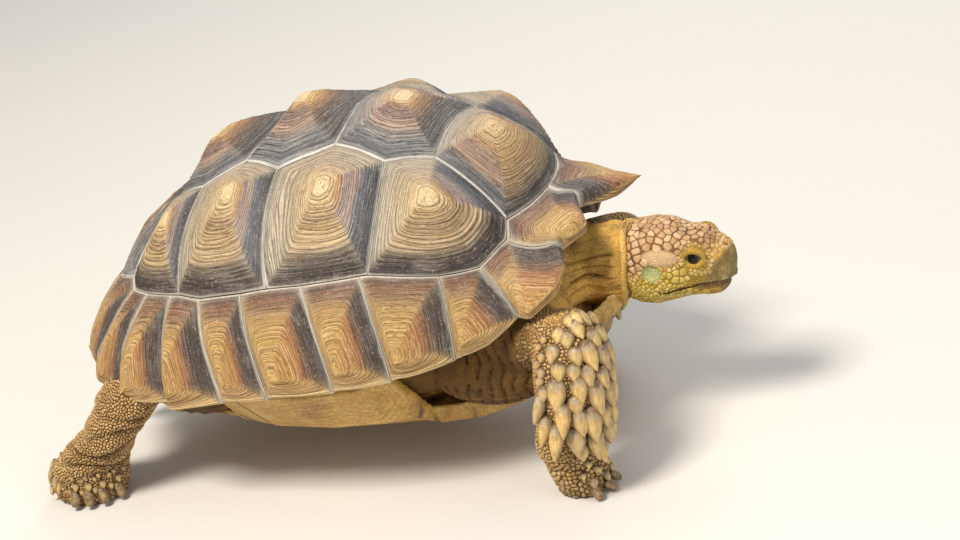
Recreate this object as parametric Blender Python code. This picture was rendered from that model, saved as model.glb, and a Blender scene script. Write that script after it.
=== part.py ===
"""A life-size sulcata tortoise, walking: one still museum model, divided into its shell plates and body parts.

Metres, +Z up, the head towards +X and the right side towards -Y. The soles rest on the floor, at Z = 0.
"""

import math

import bmesh
import bpy
import numpy as np
from mathutils import Matrix, Vector

# Carapace, in its own frame: x forward and z up from the centre of its rim plane.
HALF_LENGTH = 0.240
HALF_WIDTH = 0.183
HEIGHT = 0.208
FRONT_RISE = 0.032  # the rim climbs by this at the front
REAR_RISE = 0.014
CROWN_SHIFT = 0.0655  # the crown leans towards the head
PLAN_POWER = 0.8  # 2 over the exponent of the superellipse seen from above
SPREAD = {"front": 1.305, "side": 1.195, "rear": 1.147}
FALL = {"front": 0.950, "side": 0.692, "rear": 0.944}
REAR_DIP = 0.010  # the smooth shell sinks by this round the last vertebral plate
PLATE = 0.005  # thickness of a plate
RIM_THINNING = 0.5  # share of that lost at the free edge
GAP = 0.0004
PLATE_GAP = 0.0012  # between a leg and the rim that it passes under

# Stance: the carapace rides nose up over the floor.
PITCH = math.radians(4.5)
RIDE_HEIGHT = 0.1246
CENTRE_X = -0.051  # puts the origin under the middle of the whole animal

# Corners of the large plates on the unit disc (p forward, q outward), which shellPoint carries to the carapace.
CORNERS = {
    "v1_c1": (0.673, 0.278),
    "v1_v2": (0.391, 0.221),
    "v2_c1_c2": (0.231, 0.326),
    "v2_v3": (0.052, 0.275),
    "v3_c2_c3": (-0.052, 0.353),
    "v3_v4": (-0.198, 0.246),
    "v4_c3_c4": (-0.319, 0.265),
    "v4_v5": (-0.446, 0.155),
}
# Growth centres of the large plates on the same disc, and how far each stands proud: (p, q, peak).
VERTEBRAL_CENTRES = (
    (0.506, 0, 0.016), (0.239, 0, 0.016), (-0.130, 0, 0.020), (-0.350, 0, 0.022), (-0.630, 0, 0.013),
)
COSTAL_CENTRES = ((0.395, 0.432, 0.024), (0.090, 0.468, 0.020), (-0.130, 0.436, 0.017), (-0.331, 0.426, 0.018))
MARGINAL_PEAK = 0.004
LARGE_RINGS = (0.30, 0.62, 0.86)  # steps from a plate's edge to its growth centre

# The seam above the marginals, as (share of a half turn from the front, distance from the disc's centre).
SEAM_RING = (
    (0.000, 0.751), (0.125, 0.728), (0.150, 0.777), (0.214, 0.813), (0.283, 0.799), (0.386, 0.757),
    (0.398, 0.757), (0.470, 0.763), (0.500, 0.761), (0.523, 0.766), (0.576, 0.768), (0.614, 0.752),
    (0.627, 0.752), (0.684, 0.745), (0.729, 0.735), (0.754, 0.700), (0.870, 0.720), (1.000, 0.740),
)
COSTAL_FEET = (0.125, 0.386, 0.500, 0.614, 0.754)  # where the costal seams meet that ring
MARGINAL_TOPS = (0.0, 0.150, 0.214, 0.283, 0.398, 0.470, 0.523, 0.576, 0.627, 0.684, 0.729, 0.870)
MARGINAL_RIMS = (0.0, 0.105, 0.165, 0.282, 0.376, 0.447, 0.505, 0.551, 0.631, 0.730, 0.830, 0.935)

# How far the free edge leaves the plain rim, as (share of a half turn, forward, outward, up).
EDGE_RIGHT = (
    (0.000, 0.017, 0.000, 0.051), (0.070, 0.047, 0.008, 0.051), (0.105, 0.038, 0.016, 0.050),
    (0.125, 0.048, 0.025, 0.045), (0.140, 0.042, 0.028, 0.025), (0.155, 0.017, 0.025, 0.007),
    (0.165, 0.010, 0.021, 0.012), (0.225, 0.004, 0.010, 0.002), (0.282, 0.000, 0.000, 0.000),
    (0.551, 0.000, 0.000, 0.000), (0.616, -0.009, 0.002, -0.006), (0.631, 0.000, 0.000, 0.000),
    (0.712, -0.011, 0.000, -0.006), (0.730, 0.000, 0.000, 0.000), (0.812, -0.012, 0.000, -0.004),
    (0.830, -0.003, 0.000, 0.000), (0.915, -0.015, 0.000, 0.001), (0.935, -0.007, 0.000, 0.001),
    (1.000, -0.002, 0.000, -0.014),
)
# On the left the first marginal runs out into a longer point and the second stands out less.
EDGE_LEFT = (
    (0.000, 0.017, 0.000, 0.051), (0.070, 0.065, 0.006, 0.048), (0.105, 0.016, 0.016, 0.044),
    (0.125, 0.020, 0.025, 0.031), (0.140, 0.011, 0.028, 0.010), (0.155, 0.008, 0.025, 0.000),
    (0.165, 0.006, 0.018, 0.004),
) + EDGE_RIGHT[7:]

# Plastron, in the carapace's frame: (x, half width of its flat, half width with the bridge, lowest height).
PLASTRON = (
    (-0.200, 0.026, 0.040, -0.046), (-0.175, 0.044, 0.062, -0.053), (-0.140, 0.058, 0.080, -0.059),
    (-0.095, 0.064, 0.090, -0.064), (-0.080, 0.070, 0.150, -0.066), (-0.040, 0.080, 0.164, -0.072),
    (0.020, 0.092, 0.170, -0.076), (0.070, 0.092, 0.166, -0.078), (0.096, 0.088, 0.150, -0.080),
    (0.112, 0.080, 0.104, -0.081), (0.150, 0.074, 0.097, -0.082), (0.190, 0.062, 0.084, -0.076),
    (0.225, 0.044, 0.062, -0.055), (0.256, 0.030, 0.043, -0.032), (0.281, 0.022, 0.030, -0.016),
)
PLASTRON_THICK = 0.007
BRIDGE_TOP = -0.006
LIP = 0.006  # how far the outer edge of a free lobe curls up


def lookUp(table, where):
    """Reads a table of rows (key, value, ...) at a key between its rows."""
    keys = [row[0] for row in table]
    return [float(np.interp(where, keys, column)) for column in list(zip(*table))[1:]]


def shellPoint(p, q):
    """Carries a point of the unit disc to the smooth carapace, before its plates are raised."""
    radius = max(math.hypot(p, q), 1e-6)
    angle = math.atan2(abs(q), p)
    side = 1 if q > 0 else -1
    ahead, across = math.cos(angle), math.sin(angle)
    front, rear = max(ahead, 0.0) ** 2, max(-ahead, 0.0) ** 2
    weights = {"front": front, "side": 1 - front - rear, "rear": rear}
    spread = sum(SPREAD[part] * weights[part] for part in weights)
    fall = sum(FALL[part] * weights[part] for part in weights)
    reach = math.sin(min(radius, 1.0) * math.pi / 2) ** spread
    height = max(math.cos(min(radius, 1.0) * math.pi / 2), 0.0) ** fall
    rim = FRONT_RISE * math.exp(-((angle / 0.75) ** 2))
    rim += REAR_RISE * math.exp(-(((math.pi - angle) / 0.9) ** 2))
    x = HALF_LENGTH * math.copysign(abs(ahead) ** PLAN_POWER, ahead) * reach
    x += CROWN_SHIFT * (1 - min(radius, 1.0))
    y = HALF_WIDTH * across**PLAN_POWER * reach
    z = rim + (HEIGHT - rim) * height
    skirt = min(max((radius - 0.72) / 0.28, 0.0), 1.0)
    skirt = skirt * skirt * (3 - 2 * skirt)
    forward, outward, up = lookUp(EDGE_LEFT if side > 0 else EDGE_RIGHT, angle / math.pi)
    dip = REAR_DIP * math.exp(-(((p + 0.61) / 0.17) ** 2) - (q / 0.33) ** 2)
    return Vector((x + skirt * forward + 0.6 * dip, side * (y + skirt * outward), z + skirt * up - 0.8 * dip))


def shellNormal(p, q):
    step = 0.004
    shrink = min(1.0, (1 - step) / max(math.hypot(p, q), 1e-6))
    p, q = p * shrink, q * shrink
    along = shellPoint(p + step, q) - shellPoint(p - step, q)
    aside = shellPoint(p, q + step) - shellPoint(p, q - step)
    return along.cross(aside).normalized()


def onDisc(turn, radius, side=1):
    angle = turn * math.pi
    return Vector((radius * math.cos(angle), side * radius * math.sin(angle)))


def seamRadius(turn):
    return lookUp(SEAM_RING, turn)[0]


def ringRun(start, end, side, steps):
    """Points along the seam above the marginals between two shares of the half turn, its bends included."""
    bends = [turn for turn, _ in SEAM_RING if min(start, end) < turn < max(start, end)]
    turns = sorted({round(turn, 4) for turn in [*np.linspace(start, end, steps), *bends]}, reverse=end < start)
    return [onDisc(turn, seamRadius(turn), side) for turn in turns]


def divided(corners, steps):
    """A closed outline with every straight run between its corners cut into steps."""
    points = []
    for here, there in zip(corners, corners[1:] + corners[:1]):
        points += [here.lerp(there, k / steps) for k in range(steps)]
    return points


def corner(name, side):
    p, q = CORNERS[name]
    return Vector((p, side * q))


def vertebralOutline(number):
    """The outline of vertebral plate 1 to 5 on the disc, rearward down the left and back up the right."""
    edges = {
        1: ["v1_c1", "v1_v2"],
        2: ["v1_v2", "v2_c1_c2", "v2_v3"],
        3: ["v2_v3", "v3_c2_c3", "v3_v4"],
        4: ["v3_v4", "v4_c3_c4", "v4_v5"],
        5: ["v4_v5"],
    }[number]
    left = [corner(name, 1) for name in edges]
    right = [corner(name, -1) for name in reversed(edges)]
    if number == 1:
        left = ringRun(0.0, COSTAL_FEET[0], 1, 3)[:-1] + left
        right = right + ringRun(COSTAL_FEET[0], 0.0, -1, 3)[1:-1]
    if number == 5:
        left += ringRun(COSTAL_FEET[4], 1.0, 1, 6)
        right = ringRun(1.0, COSTAL_FEET[4], -1, 6)[1:] + right
    return divided(left + right, 2)


def costalOutline(number, side):
    """The closed outline of costal plate 1 to 4 on the disc."""
    tops = {
        1: ["v1_c1", "v1_v2", "v2_c1_c2"],
        2: ["v2_c1_c2", "v2_v3", "v3_c2_c3"],
        3: ["v3_c2_c3", "v3_v4", "v4_c3_c4"],
        4: ["v4_c3_c4", "v4_v5"],
    }[number]
    top = [corner(name, side) for name in tops]
    foot = ringRun(COSTAL_FEET[number], COSTAL_FEET[number - 1], side, 5)
    if number == 1:
        foot = foot[:-1]
    return divided(top + foot, 2)


def marginalOutline(number, side):
    """The closed outline of marginal plate 1 to 11; beyond 11 it is the supracaudal's half."""
    top = [MARGINAL_TOPS[number - 1], MARGINAL_TOPS[number]]
    rim = [MARGINAL_RIMS[number - 1], MARGINAL_RIMS[number]]
    points = ringRun(top[0], top[1], side, 4)
    points.append(onDisc((top[1] + rim[1]) / 2, (seamRadius(top[1]) + 1) / 2, side))
    inner = [turn for turn, *_ in EDGE_RIGHT if rim[0] < turn < rim[1]] or [(rim[0] + rim[1]) / 2]
    points += [onDisc(turn, 1.0, side) for turn in [rim[1]] + sorted(inner, reverse=True) + [rim[0]]]
    points.append(onDisc((top[0] + rim[0]) / 2, (seamRadius(top[0]) + 1) / 2, side))
    return points


def supracaudalOutline():
    top = ringRun(MARGINAL_TOPS[11], 1.0, 1, 4) + ringRun(1.0, MARGINAL_TOPS[11], -1, 4)[1:]
    middle = onDisc((MARGINAL_TOPS[11] + MARGINAL_RIMS[11]) / 2, (seamRadius(MARGINAL_TOPS[11]) + 1) / 2)
    edge = [middle] + [onDisc(turn, 1.0) for turn in (MARGINAL_RIMS[11], 0.97, 1.0)]
    return top + [Vector((point.x, -point.y)) for point in edge] + edge[2::-1]


def pulledIn(outline, amount):
    """The outline with each point drawn towards the middle, so that neighbours keep clear of each other."""
    middle = sum(outline, Vector((0, 0))) / len(outline)
    return [point + (middle - point).normalized() * amount for point in outline]


def plateObject(name, outline, centre, peak, rings, tint):
    """A shell plate: a slab on its outline, its outer face stepped in towards the raised growth centre."""
    bm = bmesh.new()
    outline = pulledIn(outline, GAP / HALF_WIDTH)
    inner = bm.faces.new([bm.verts.new((point.x, point.y, 0)) for point in outline])
    grown = bmesh.ops.extrude_face_region(bm, geom=[inner])
    outer = next(item for item in grown["geom"] if isinstance(item, bmesh.types.BMFace))
    for face, depth, shares in ((outer, 0.0, rings), (inner, PLATE, rings[1:2])):
        edge = [vert.co.xy for vert in face.verts]
        for share in (0.0, *shares):
            if share:
                bmesh.ops.inset_individual(bm, faces=[face], thickness=0.0)
            for vert, point in zip(face.verts, edge):
                p, q = point.lerp(centre, share)
                raised = 0.0 if depth else peak * share**1.1
                thinned = depth * (1 - RIM_THINNING * max(0.0, (math.hypot(p, q) - 0.72) / 0.28))
                vert.co = shellPoint(p, q) + shellNormal(p, q) * (raised - thinned)
    return finished(name, bm, tint, shellFrame())


def shellFrame():
    return Matrix.Translation((CENTRE_X, 0, RIDE_HEIGHT)) @ Matrix.Rotation(-PITCH, 4, "Y")


def material(name, colour, roughness):
    made = bpy.data.materials.get(name)
    if made is None:
        made = bpy.data.materials.new(name)
        made.use_nodes = True
        shader = made.node_tree.nodes["Principled BSDF"]
        shader.inputs["Base Color"].default_value = (*colour, 1)
        shader.inputs["Roughness"].default_value = roughness
        shader.inputs["Metallic"].default_value = 0.0
        made.diffuse_color = (*colour, 1)
    return made


TINTS = {
    "horn": ((0.30, 0.20, 0.11), 0.55),
    "rim_horn": ((0.46, 0.31, 0.13), 0.55),
    "plastron_horn": ((0.60, 0.44, 0.20), 0.5),
    "skin": ((0.34, 0.22, 0.10), 0.75),
    "scaled_skin": ((0.50, 0.38, 0.20), 0.65),
    "eye": ((0.02, 0.015, 0.012), 0.15),
}


def faceOutward(bm):
    bmesh.ops.recalc_face_normals(bm, faces=bm.faces[:])
    if bm.calc_volume(signed=True) < 0:
        bmesh.ops.reverse_faces(bm, faces=bm.faces[:])


def finished(name, bm, tint, placing=None):
    """Makes the object of a closed mesh, links it and shades it."""
    bmesh.ops.remove_doubles(bm, verts=bm.verts[:], dist=1e-6)
    bmesh.ops.triangulate(bm, faces=bm.faces[:])
    faceOutward(bm)
    mesh = bpy.data.meshes.new(name)
    bm.to_mesh(mesh)
    bm.free()
    mesh.shade_smooth()
    mesh.set_sharp_from_angle(angle=math.radians(40))
    mesh.materials.append(material(tint, *TINTS[tint]))
    made = bpy.data.objects.new(name, mesh)
    bpy.data.collections["sulcata_tortoise"].objects.link(made)
    if placing is not None:
        made.matrix_world = placing
    return made


def loft(rings):
    """A closed skin over rings of equally many points, with its two ends capped."""
    bm = bmesh.new()
    rows = [[bm.verts.new(point) for point in ring] for ring in rings]
    count = len(rows[0])
    for lower, upper in zip(rows, rows[1:]):
        for k in range(count):
            bm.faces.new((lower[k], lower[(k + 1) % count], upper[(k + 1) % count], upper[k]))
    bm.faces.new(reversed(rows[0]))
    bm.faces.new(rows[-1])
    return bm


def shellPlates():
    for number, (p, q, peak) in enumerate(VERTEBRAL_CENTRES, 1):
        outline = vertebralOutline(number)
        plateObject(f"vertebral_{number}", outline, Vector((p, q)), peak, LARGE_RINGS, "horn")
    for side, word in ((-1, "right"), (1, "left")):
        for number, (p, q, peak) in enumerate(COSTAL_CENTRES, 1):
            outline = costalOutline(number, side)
            plateObject(f"costal_{word}_{number}", outline, Vector((p, side * q)), peak, LARGE_RINGS, "horn")
        for number in range(1, 12):
            outline = marginalOutline(number, side)
            low = MARGINAL_RIMS[number - 1] * 0.35 + MARGINAL_RIMS[number] * 0.65
            centre = onDisc(low, 0.93, side)
            plateObject(f"marginal_{word}_{number}", outline, centre, MARGINAL_PEAK, (0.6,), "rim_horn")
    plateObject("supracaudal", supracaudalOutline(), onDisc(1.0, 0.9), MARGINAL_PEAK, (0.6,), "rim_horn")


def plastronSection(row):
    """One cross section: along the underside from right to left, then back along the upper side."""
    x, flat, full, low = row
    bridged = full - flat > 0.05
    top = BRIDGE_TOP if bridged else low + LIP
    half = [(0.0, low + 0.002), (flat * 0.6, low), (flat, low + 0.001)]
    if bridged:
        half += [(flat + (full - flat) * 0.55, low + (top - low) * 0.30), (full, top)]
    else:
        half += [(flat + (full - flat) * 0.6, low + LIP * 0.35), (full, top)]
    under = [(-y, z) for y, z in reversed(half[1:])] + half
    upper = []
    for y, z in reversed(under):
        drawnIn = PLASTRON_THICK * (abs(y) / full) ** 3 if bridged else 0.0
        upper.append((y - math.copysign(drawnIn, y), z + PLASTRON_THICK))
    return [Vector((x, y, z)) for y, z in under + upper]


def plastron():
    bm = loft([plastronSection(row) for row in PLASTRON])
    return finished("plastron", bm, "plastron_horn", shellFrame())


# Lower rings of the trunk: (share of its reach, half width, height over the plastron's underside).
TRUNK_FLOOR = ((0.98, 0.138, 0.040), (0.93, 0.085, 0.011), (0.86, 0.080, 0.0035))
TRUNK_REACH = 0.150
TRUNK_CLEARANCE = 0.0046  # the trunk's long facets keep this far inside the plates
TRUNK_SIDES = 28


def trunkRings():
    """Rings of the body under the shell, from the crown down to the plastron, drawn in at both ends."""
    angles = [2 * math.pi * k / TRUNK_SIDES for k in range(TRUNK_SIDES)]
    rings = []
    for radius in (0.14, 0.34, 0.52, 0.66, 0.78, 0.88):
        ring = []
        for angle in angles:
            held = min(radius, 0.88 - 0.20 * abs(math.cos(angle)) ** 3)
            p, q = held * math.cos(angle), held * math.sin(angle)
            point = shellPoint(p, q) - shellNormal(p, q) * (PLATE + TRUNK_CLEARANCE)
            point.z -= 0.2 * (radius - held)
            ring.append(point)
        rings.append(ring)
    for share, width, height in TRUNK_FLOOR:
        ring = []
        for angle in angles:
            ahead, across = math.cos(angle), math.sin(angle)
            x = math.copysign(abs(ahead) ** PLAN_POWER, ahead) * TRUNK_REACH * share + 0.005
            y = math.copysign(abs(across) ** PLAN_POWER, across) * width * share
            low = lookUp(PLASTRON, x)[2]
            ring.append(Vector((x, y, low + height)))
        rings.append(ring)
    return rings


def trunk():
    return finished("trunk", loft(trunkRings()), "skin", shellFrame())


def ringAbout(centre, forward, aside, fore, side, count):
    """An oval ring of points round a centre, reaching fore along one direction and side along the other."""
    turns = [2 * math.pi * k / count for k in range(count)]
    return [centre + forward * math.cos(turn) * fore + aside * math.sin(turn) * side for turn in turns]


def flatRings(stations, count):
    """Level rings, one above another. A station is (x, y, height, fore-and-aft radius, sideways radius)."""
    along, aside = Vector((1, 0, 0)), Vector((0, 1, 0))
    return [ringAbout(Vector((x, y, z)), along, aside, fore, side, count) for x, y, z, fore, side in stations]


def straightRings(stations, count):
    """Rings square to the line between the end stations: (x, y, height, sideways radius, upright radius)."""
    centres = [Vector(station[:3]) for station in stations]
    axis = (centres[-1] - centres[0]).normalized()
    aside = Vector((0, 0, 1)).cross(axis).normalized()
    upright = axis.cross(aside)
    return [ringAbout(centre, aside, upright, row[3], row[4], count) for centre, row in zip(centres, stations)]


# Legs, as on the right side: level rings from the joint's top down to the sole (x, outward, height, radii),
# the upper part likewise from inside the body to the joint, the claws' directions in degrees, and the shell
# plates that the leg passes under.
FORE_CLAWS = (-47, -12, 22, 55, 88)
HIND_CLAWS = (-90, -68, -46, -22)
LEGS = {
    "foreleg_right": {
        "side": -1,
        "lower": (
            (0.260, 0.114, 0.174, 0.014, 0.014), (0.260, 0.118, 0.165, 0.026, 0.026),
            (0.262, 0.125, 0.148, 0.034, 0.034), (0.262, 0.130, 0.125, 0.037, 0.037),
            (0.260, 0.132, 0.100, 0.038, 0.038), (0.256, 0.131, 0.075, 0.037, 0.037),
            (0.250, 0.129, 0.052, 0.037, 0.034), (0.249, 0.124, 0.032, 0.030, 0.030),
            (0.252, 0.121, 0.013, 0.027, 0.027), (0.252, 0.120, 0.000, 0.023, 0.023),
        ),
        "upper": ((0.140, 0.058, 0.128, 0.034, 0.034), (0.260, 0.116, 0.148, 0.030, 0.026)),
        "claws": FORE_CLAWS,
        "under": (),
    },
    "foreleg_left": {
        "side": 1,
        "lower": (
            (0.246, 0.108, 0.167, 0.014, 0.014), (0.244, 0.112, 0.158, 0.025, 0.025),
            (0.238, 0.118, 0.141, 0.034, 0.034), (0.227, 0.124, 0.118, 0.038, 0.036),
            (0.211, 0.129, 0.093, 0.038, 0.036), (0.193, 0.132, 0.068, 0.036, 0.035),
            (0.176, 0.133, 0.046, 0.034, 0.033), (0.162, 0.132, 0.028, 0.029, 0.029),
            (0.156, 0.132, 0.012, 0.027, 0.027), (0.154, 0.132, 0.000, 0.023, 0.023),
        ),
        "upper": ((0.130, 0.056, 0.126, 0.034, 0.034), (0.240, 0.111, 0.142, 0.030, 0.025)),
        "claws": FORE_CLAWS,
        "under": (),
    },
    "hindleg_right": {
        "side": -1,
        "lower": (
            (-0.150, 0.112, 0.142, 0.014, 0.014), (-0.155, 0.120, 0.132, 0.027, 0.026),
            (-0.168, 0.130, 0.112, 0.033, 0.033), (-0.188, 0.134, 0.090, 0.030, 0.032),
            (-0.208, 0.135, 0.070, 0.031, 0.032), (-0.227, 0.133, 0.052, 0.036, 0.034),
            (-0.241, 0.130, 0.034, 0.040, 0.035), (-0.247, 0.128, 0.014, 0.041, 0.034),
            (-0.247, 0.128, 0.000, 0.036, 0.030),
        ),
        "upper": ((-0.085, 0.055, 0.118, 0.034, 0.034), (-0.156, 0.118, 0.116, 0.030, 0.026)),
        "claws": HIND_CLAWS,
        "under": ("marginal_right_9", "marginal_right_10"),
    },
    "hindleg_left": {
        "side": 1,
        "lower": (
            (-0.110, 0.112, 0.138, 0.014, 0.014), (-0.112, 0.120, 0.128, 0.027, 0.026),
            (-0.117, 0.130, 0.110, 0.033, 0.033), (-0.123, 0.136, 0.090, 0.030, 0.032),
            (-0.129, 0.139, 0.070, 0.031, 0.032), (-0.134, 0.139, 0.052, 0.034, 0.034),
            (-0.138, 0.138, 0.034, 0.038, 0.035), (-0.139, 0.138, 0.014, 0.040, 0.034),
            (-0.139, 0.138, 0.000, 0.035, 0.030),
        ),
        "upper": ((-0.070, 0.055, 0.116, 0.034, 0.034), (-0.112, 0.116, 0.114, 0.029, 0.024)),
        "claws": HIND_CLAWS,
        "under": (),
    },
}
LEG_SIDES = 14
CLAW = {"length": 0.018, "base": 0.0064, "tip": 0.0026, "height": 0.0085, "droop": math.radians(14)}

NECK = (
    (0.120, 0, 0.148, 0.038, 0.034), (0.180, 0, 0.158, 0.035, 0.033), (0.225, 0, 0.168, 0.034, 0.033),
    (0.260, 0, 0.168, 0.034, 0.036), (0.286, 0, 0.170, 0.034, 0.038), (0.302, 0, 0.170, 0.031, 0.034),
)

# Head: (x, height of its crown, height of its jaw, half width, height where it is widest), from neck to beak.
HEAD = (
    (0.287, 0.2040, 0.1380, 0.0300, 0.170), (0.298, 0.2095, 0.1300, 0.0345, 0.168),
    (0.315, 0.2115, 0.1275, 0.0365, 0.167), (0.332, 0.2115, 0.1280, 0.0345, 0.168),
    (0.346, 0.2070, 0.1295, 0.0315, 0.171), (0.357, 0.2040, 0.1315, 0.0295, 0.174),
    (0.367, 0.2015, 0.1335, 0.0255, 0.173), (0.376, 0.1960, 0.1365, 0.0210, 0.170),
    (0.384, 0.1890, 0.1450, 0.0155, 0.167), (0.389, 0.1810, 0.1560, 0.0095, 0.167),
    (0.391, 0.1755, 0.1640, 0.0045, 0.169),
)
EYE = (0.3575, 0.0212, 0.1812)
EYE_RADIUS = 0.0085

TAIL = (
    (-0.150, 0, 0.090, 0.030, 0.030), (-0.190, 0, 0.085, 0.024, 0.024), (-0.222, 0, 0.074, 0.019, 0.019),
    (-0.245, 0.002, 0.058, 0.013, 0.013), (-0.258, 0.004, 0.043, 0.007, 0.007),
    (-0.263, 0.005, 0.035, 0.003, 0.003),
)


def headRing(row, count=20):
    """A level-sided ring round the head: flat over the crown, drawn in towards the jaw."""
    x, crown, jaw, width, widest = row
    ring = []
    for k in range(count):
        turn = 2 * math.pi * k / count
        across, up = math.cos(turn), math.sin(turn)
        flatness, reach = (0.80, crown - widest) if up > 0 else (1.0, widest - jaw)
        y = width * math.copysign(abs(across) ** (0.75 if up > 0 else 0.95), across)
        ring.append(Vector((x, y, widest + reach * math.copysign(abs(up) ** flatness, up))))
    return ring


def grownCopy(source, amount):
    """A cutter: the evaluated source with its faces pushed out by amount."""
    bpy.context.view_layer.update()
    graph = bpy.context.evaluated_depsgraph_get()
    mesh = bpy.data.meshes.new_from_object(source.evaluated_get(graph))
    bm = bmesh.new()
    bm.from_mesh(mesh)
    bmesh.ops.remove_doubles(bm, verts=bm.verts[:], dist=1e-6)
    bm.normal_update()
    moves = [(vert, vert.normal * amount * min(vert.calc_shell_factor(), 2.0)) for vert in bm.verts]
    for vert, move in moves:
        vert.co += move
    bpy.data.meshes.remove(mesh)
    return guide(f"{source.name}_cutter", bm, source.matrix_world.copy())


def cutBy(target, *cutters):
    for cutter in cutters:
        cut = target.modifiers.new(f"clear_{cutter.name}", "BOOLEAN")
        cut.operation = "DIFFERENCE"
        cut.solver = "EXACT"
        cut.object = cutter


def claws(leg):
    """The claws of one foot, each a cone rooted in its edge, as one mesh of separate cones."""
    x, outward, _, fore, side = leg["lower"][-2]
    bm = bmesh.new()
    for degrees in leg["claws"]:
        turn = math.radians(degrees)
        reach = fore * side / math.hypot(side * math.cos(turn), fore * math.sin(turn))
        lean = Matrix.Rotation(turn, 4, "Z") @ Matrix.Rotation(math.pi / 2 + CLAW["droop"], 4, "Y")
        root = Vector((x + math.cos(turn) * reach, -outward + math.sin(turn) * reach, CLAW["height"]))
        bmesh.ops.create_cone(
            bm, cap_ends=True, segments=8, radius1=CLAW["base"], radius2=CLAW["tip"], depth=CLAW["length"],
            matrix=Matrix.Translation(root) @ lean,
        )
    return bm


def guide(name, bm, placing):
    """A hidden object of the cutters' collection."""
    bmesh.ops.triangulate(bm, faces=bm.faces[:])
    faceOutward(bm)
    mesh = bpy.data.meshes.new(name)
    bm.to_mesh(mesh)
    bm.free()
    made = bpy.data.objects.new(name, mesh)
    bpy.data.collections["cutters"].objects.link(made)
    made.matrix_world = placing
    made.hide_render = True
    made.display_type = "WIRE"
    return made


def legNode(name, leg):
    """One leg, its claws and upper part joined to it, shaped as on the right and mirrored for the left."""
    placing = Matrix.Translation((CENTRE_X, 0, 0))
    rightHand = [(x, -outward, *rest) for x, outward, *rest in leg["lower"]]
    upperHand = [(x, -outward, *rest) for x, outward, *rest in leg["upper"]]
    shapes = {
        "lower": loft(flatRings(rightHand, LEG_SIDES)),
        "upper": loft(straightRings(upperHand, LEG_SIDES)),
        "claws": claws(leg),
    }
    for bm in shapes.values():
        bmesh.ops.scale(bm, vec=(1, -leg["side"], 1), verts=bm.verts[:])
    made = finished(name, shapes.pop("lower"), "scaled_skin", placing)
    for word, bm in shapes.items():
        joined = made.modifiers.new(f"join_{word}", "BOOLEAN")
        joined.operation = "UNION"
        joined.solver = "EXACT"
        joined.object = guide(f"{name}_{word}", bm, placing)
    return made


def body():
    plastronNode = plastron()
    trunkNode = trunk()
    plastronCutter = grownCopy(plastronNode, GAP)
    trunkCutter = grownCopy(trunkNode, GAP)
    cutBy(trunkNode, plastronCutter)
    for name, leg in LEGS.items():
        legPiece = legNode(name, leg)
        cutBy(legPiece, trunkCutter, plastronCutter)
        for plate in leg["under"]:
            cutBy(legPiece, grownCopy(bpy.data.objects[plate], PLATE_GAP))
    placing = Matrix.Translation((CENTRE_X, 0, 0))
    headNode = finished("head", loft([headRing(row) for row in HEAD]), "scaled_skin", placing)
    headCutter = grownCopy(headNode, GAP)
    neckNode = finished("neck", loft(straightRings(NECK, 14)), "skin", placing)
    cutBy(neckNode, trunkCutter, plastronCutter, headCutter)
    tailNode = finished("tail", loft(straightRings(TAIL, 10)), "scaled_skin", placing)
    cutBy(tailNode, trunkCutter, plastronCutter)
    for side, word in ((-1, "right"), (1, "left")):
        bm = bmesh.new()
        bmesh.ops.create_uvsphere(bm, u_segments=12, v_segments=8, radius=EYE_RADIUS)
        x, y, z = EYE
        eye = finished(f"eye_{word}", bm, "eye", placing @ Matrix.Translation((x, side * y, z)))
        cutBy(headNode, grownCopy(eye, GAP))


def main():
    for old in list(bpy.data.objects):
        bpy.data.objects.remove(old, do_unlink=True)
    for name in ("sulcata_tortoise", "cutters"):
        bpy.context.scene.collection.children.link(bpy.data.collections.new(name))
    shellPlates()
    body()


main()
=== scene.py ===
# Sulcata tortoise, walking: skin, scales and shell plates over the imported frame.
import math

import bmesh
import bpy
import numpy as np
from mathutils import Matrix, Vector
from mathutils.bvhtree import BVHTree
from mathutils.kdtree import KDTree


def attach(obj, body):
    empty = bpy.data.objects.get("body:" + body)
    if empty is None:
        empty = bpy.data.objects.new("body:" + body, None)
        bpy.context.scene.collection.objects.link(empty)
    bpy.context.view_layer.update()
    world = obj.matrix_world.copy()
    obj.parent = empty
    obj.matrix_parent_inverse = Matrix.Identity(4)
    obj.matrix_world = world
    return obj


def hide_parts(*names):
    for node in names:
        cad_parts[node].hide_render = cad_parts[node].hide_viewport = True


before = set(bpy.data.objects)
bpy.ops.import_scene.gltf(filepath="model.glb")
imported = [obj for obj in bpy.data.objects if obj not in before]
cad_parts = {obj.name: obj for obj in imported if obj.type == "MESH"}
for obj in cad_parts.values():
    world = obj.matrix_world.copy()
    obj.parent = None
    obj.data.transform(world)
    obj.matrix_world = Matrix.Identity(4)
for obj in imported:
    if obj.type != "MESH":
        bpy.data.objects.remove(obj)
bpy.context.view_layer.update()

scene = bpy.context.scene
mm = 0.001  # one millimetre in metres
floorGap = 0.0002  # nothing of the flesh lies lower than this


def linear(hexColour):
    # sRGB hex to the linear colour that shaders and lights take
    channels = [int(hexColour[k:k + 2], 16) / 255 for k in (0, 2, 4)]
    return tuple(c / 12.92 if c <= 0.04045 else ((c + 0.055) / 1.055) ** 2.4 for c in channels) + (1.0,)


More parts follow.
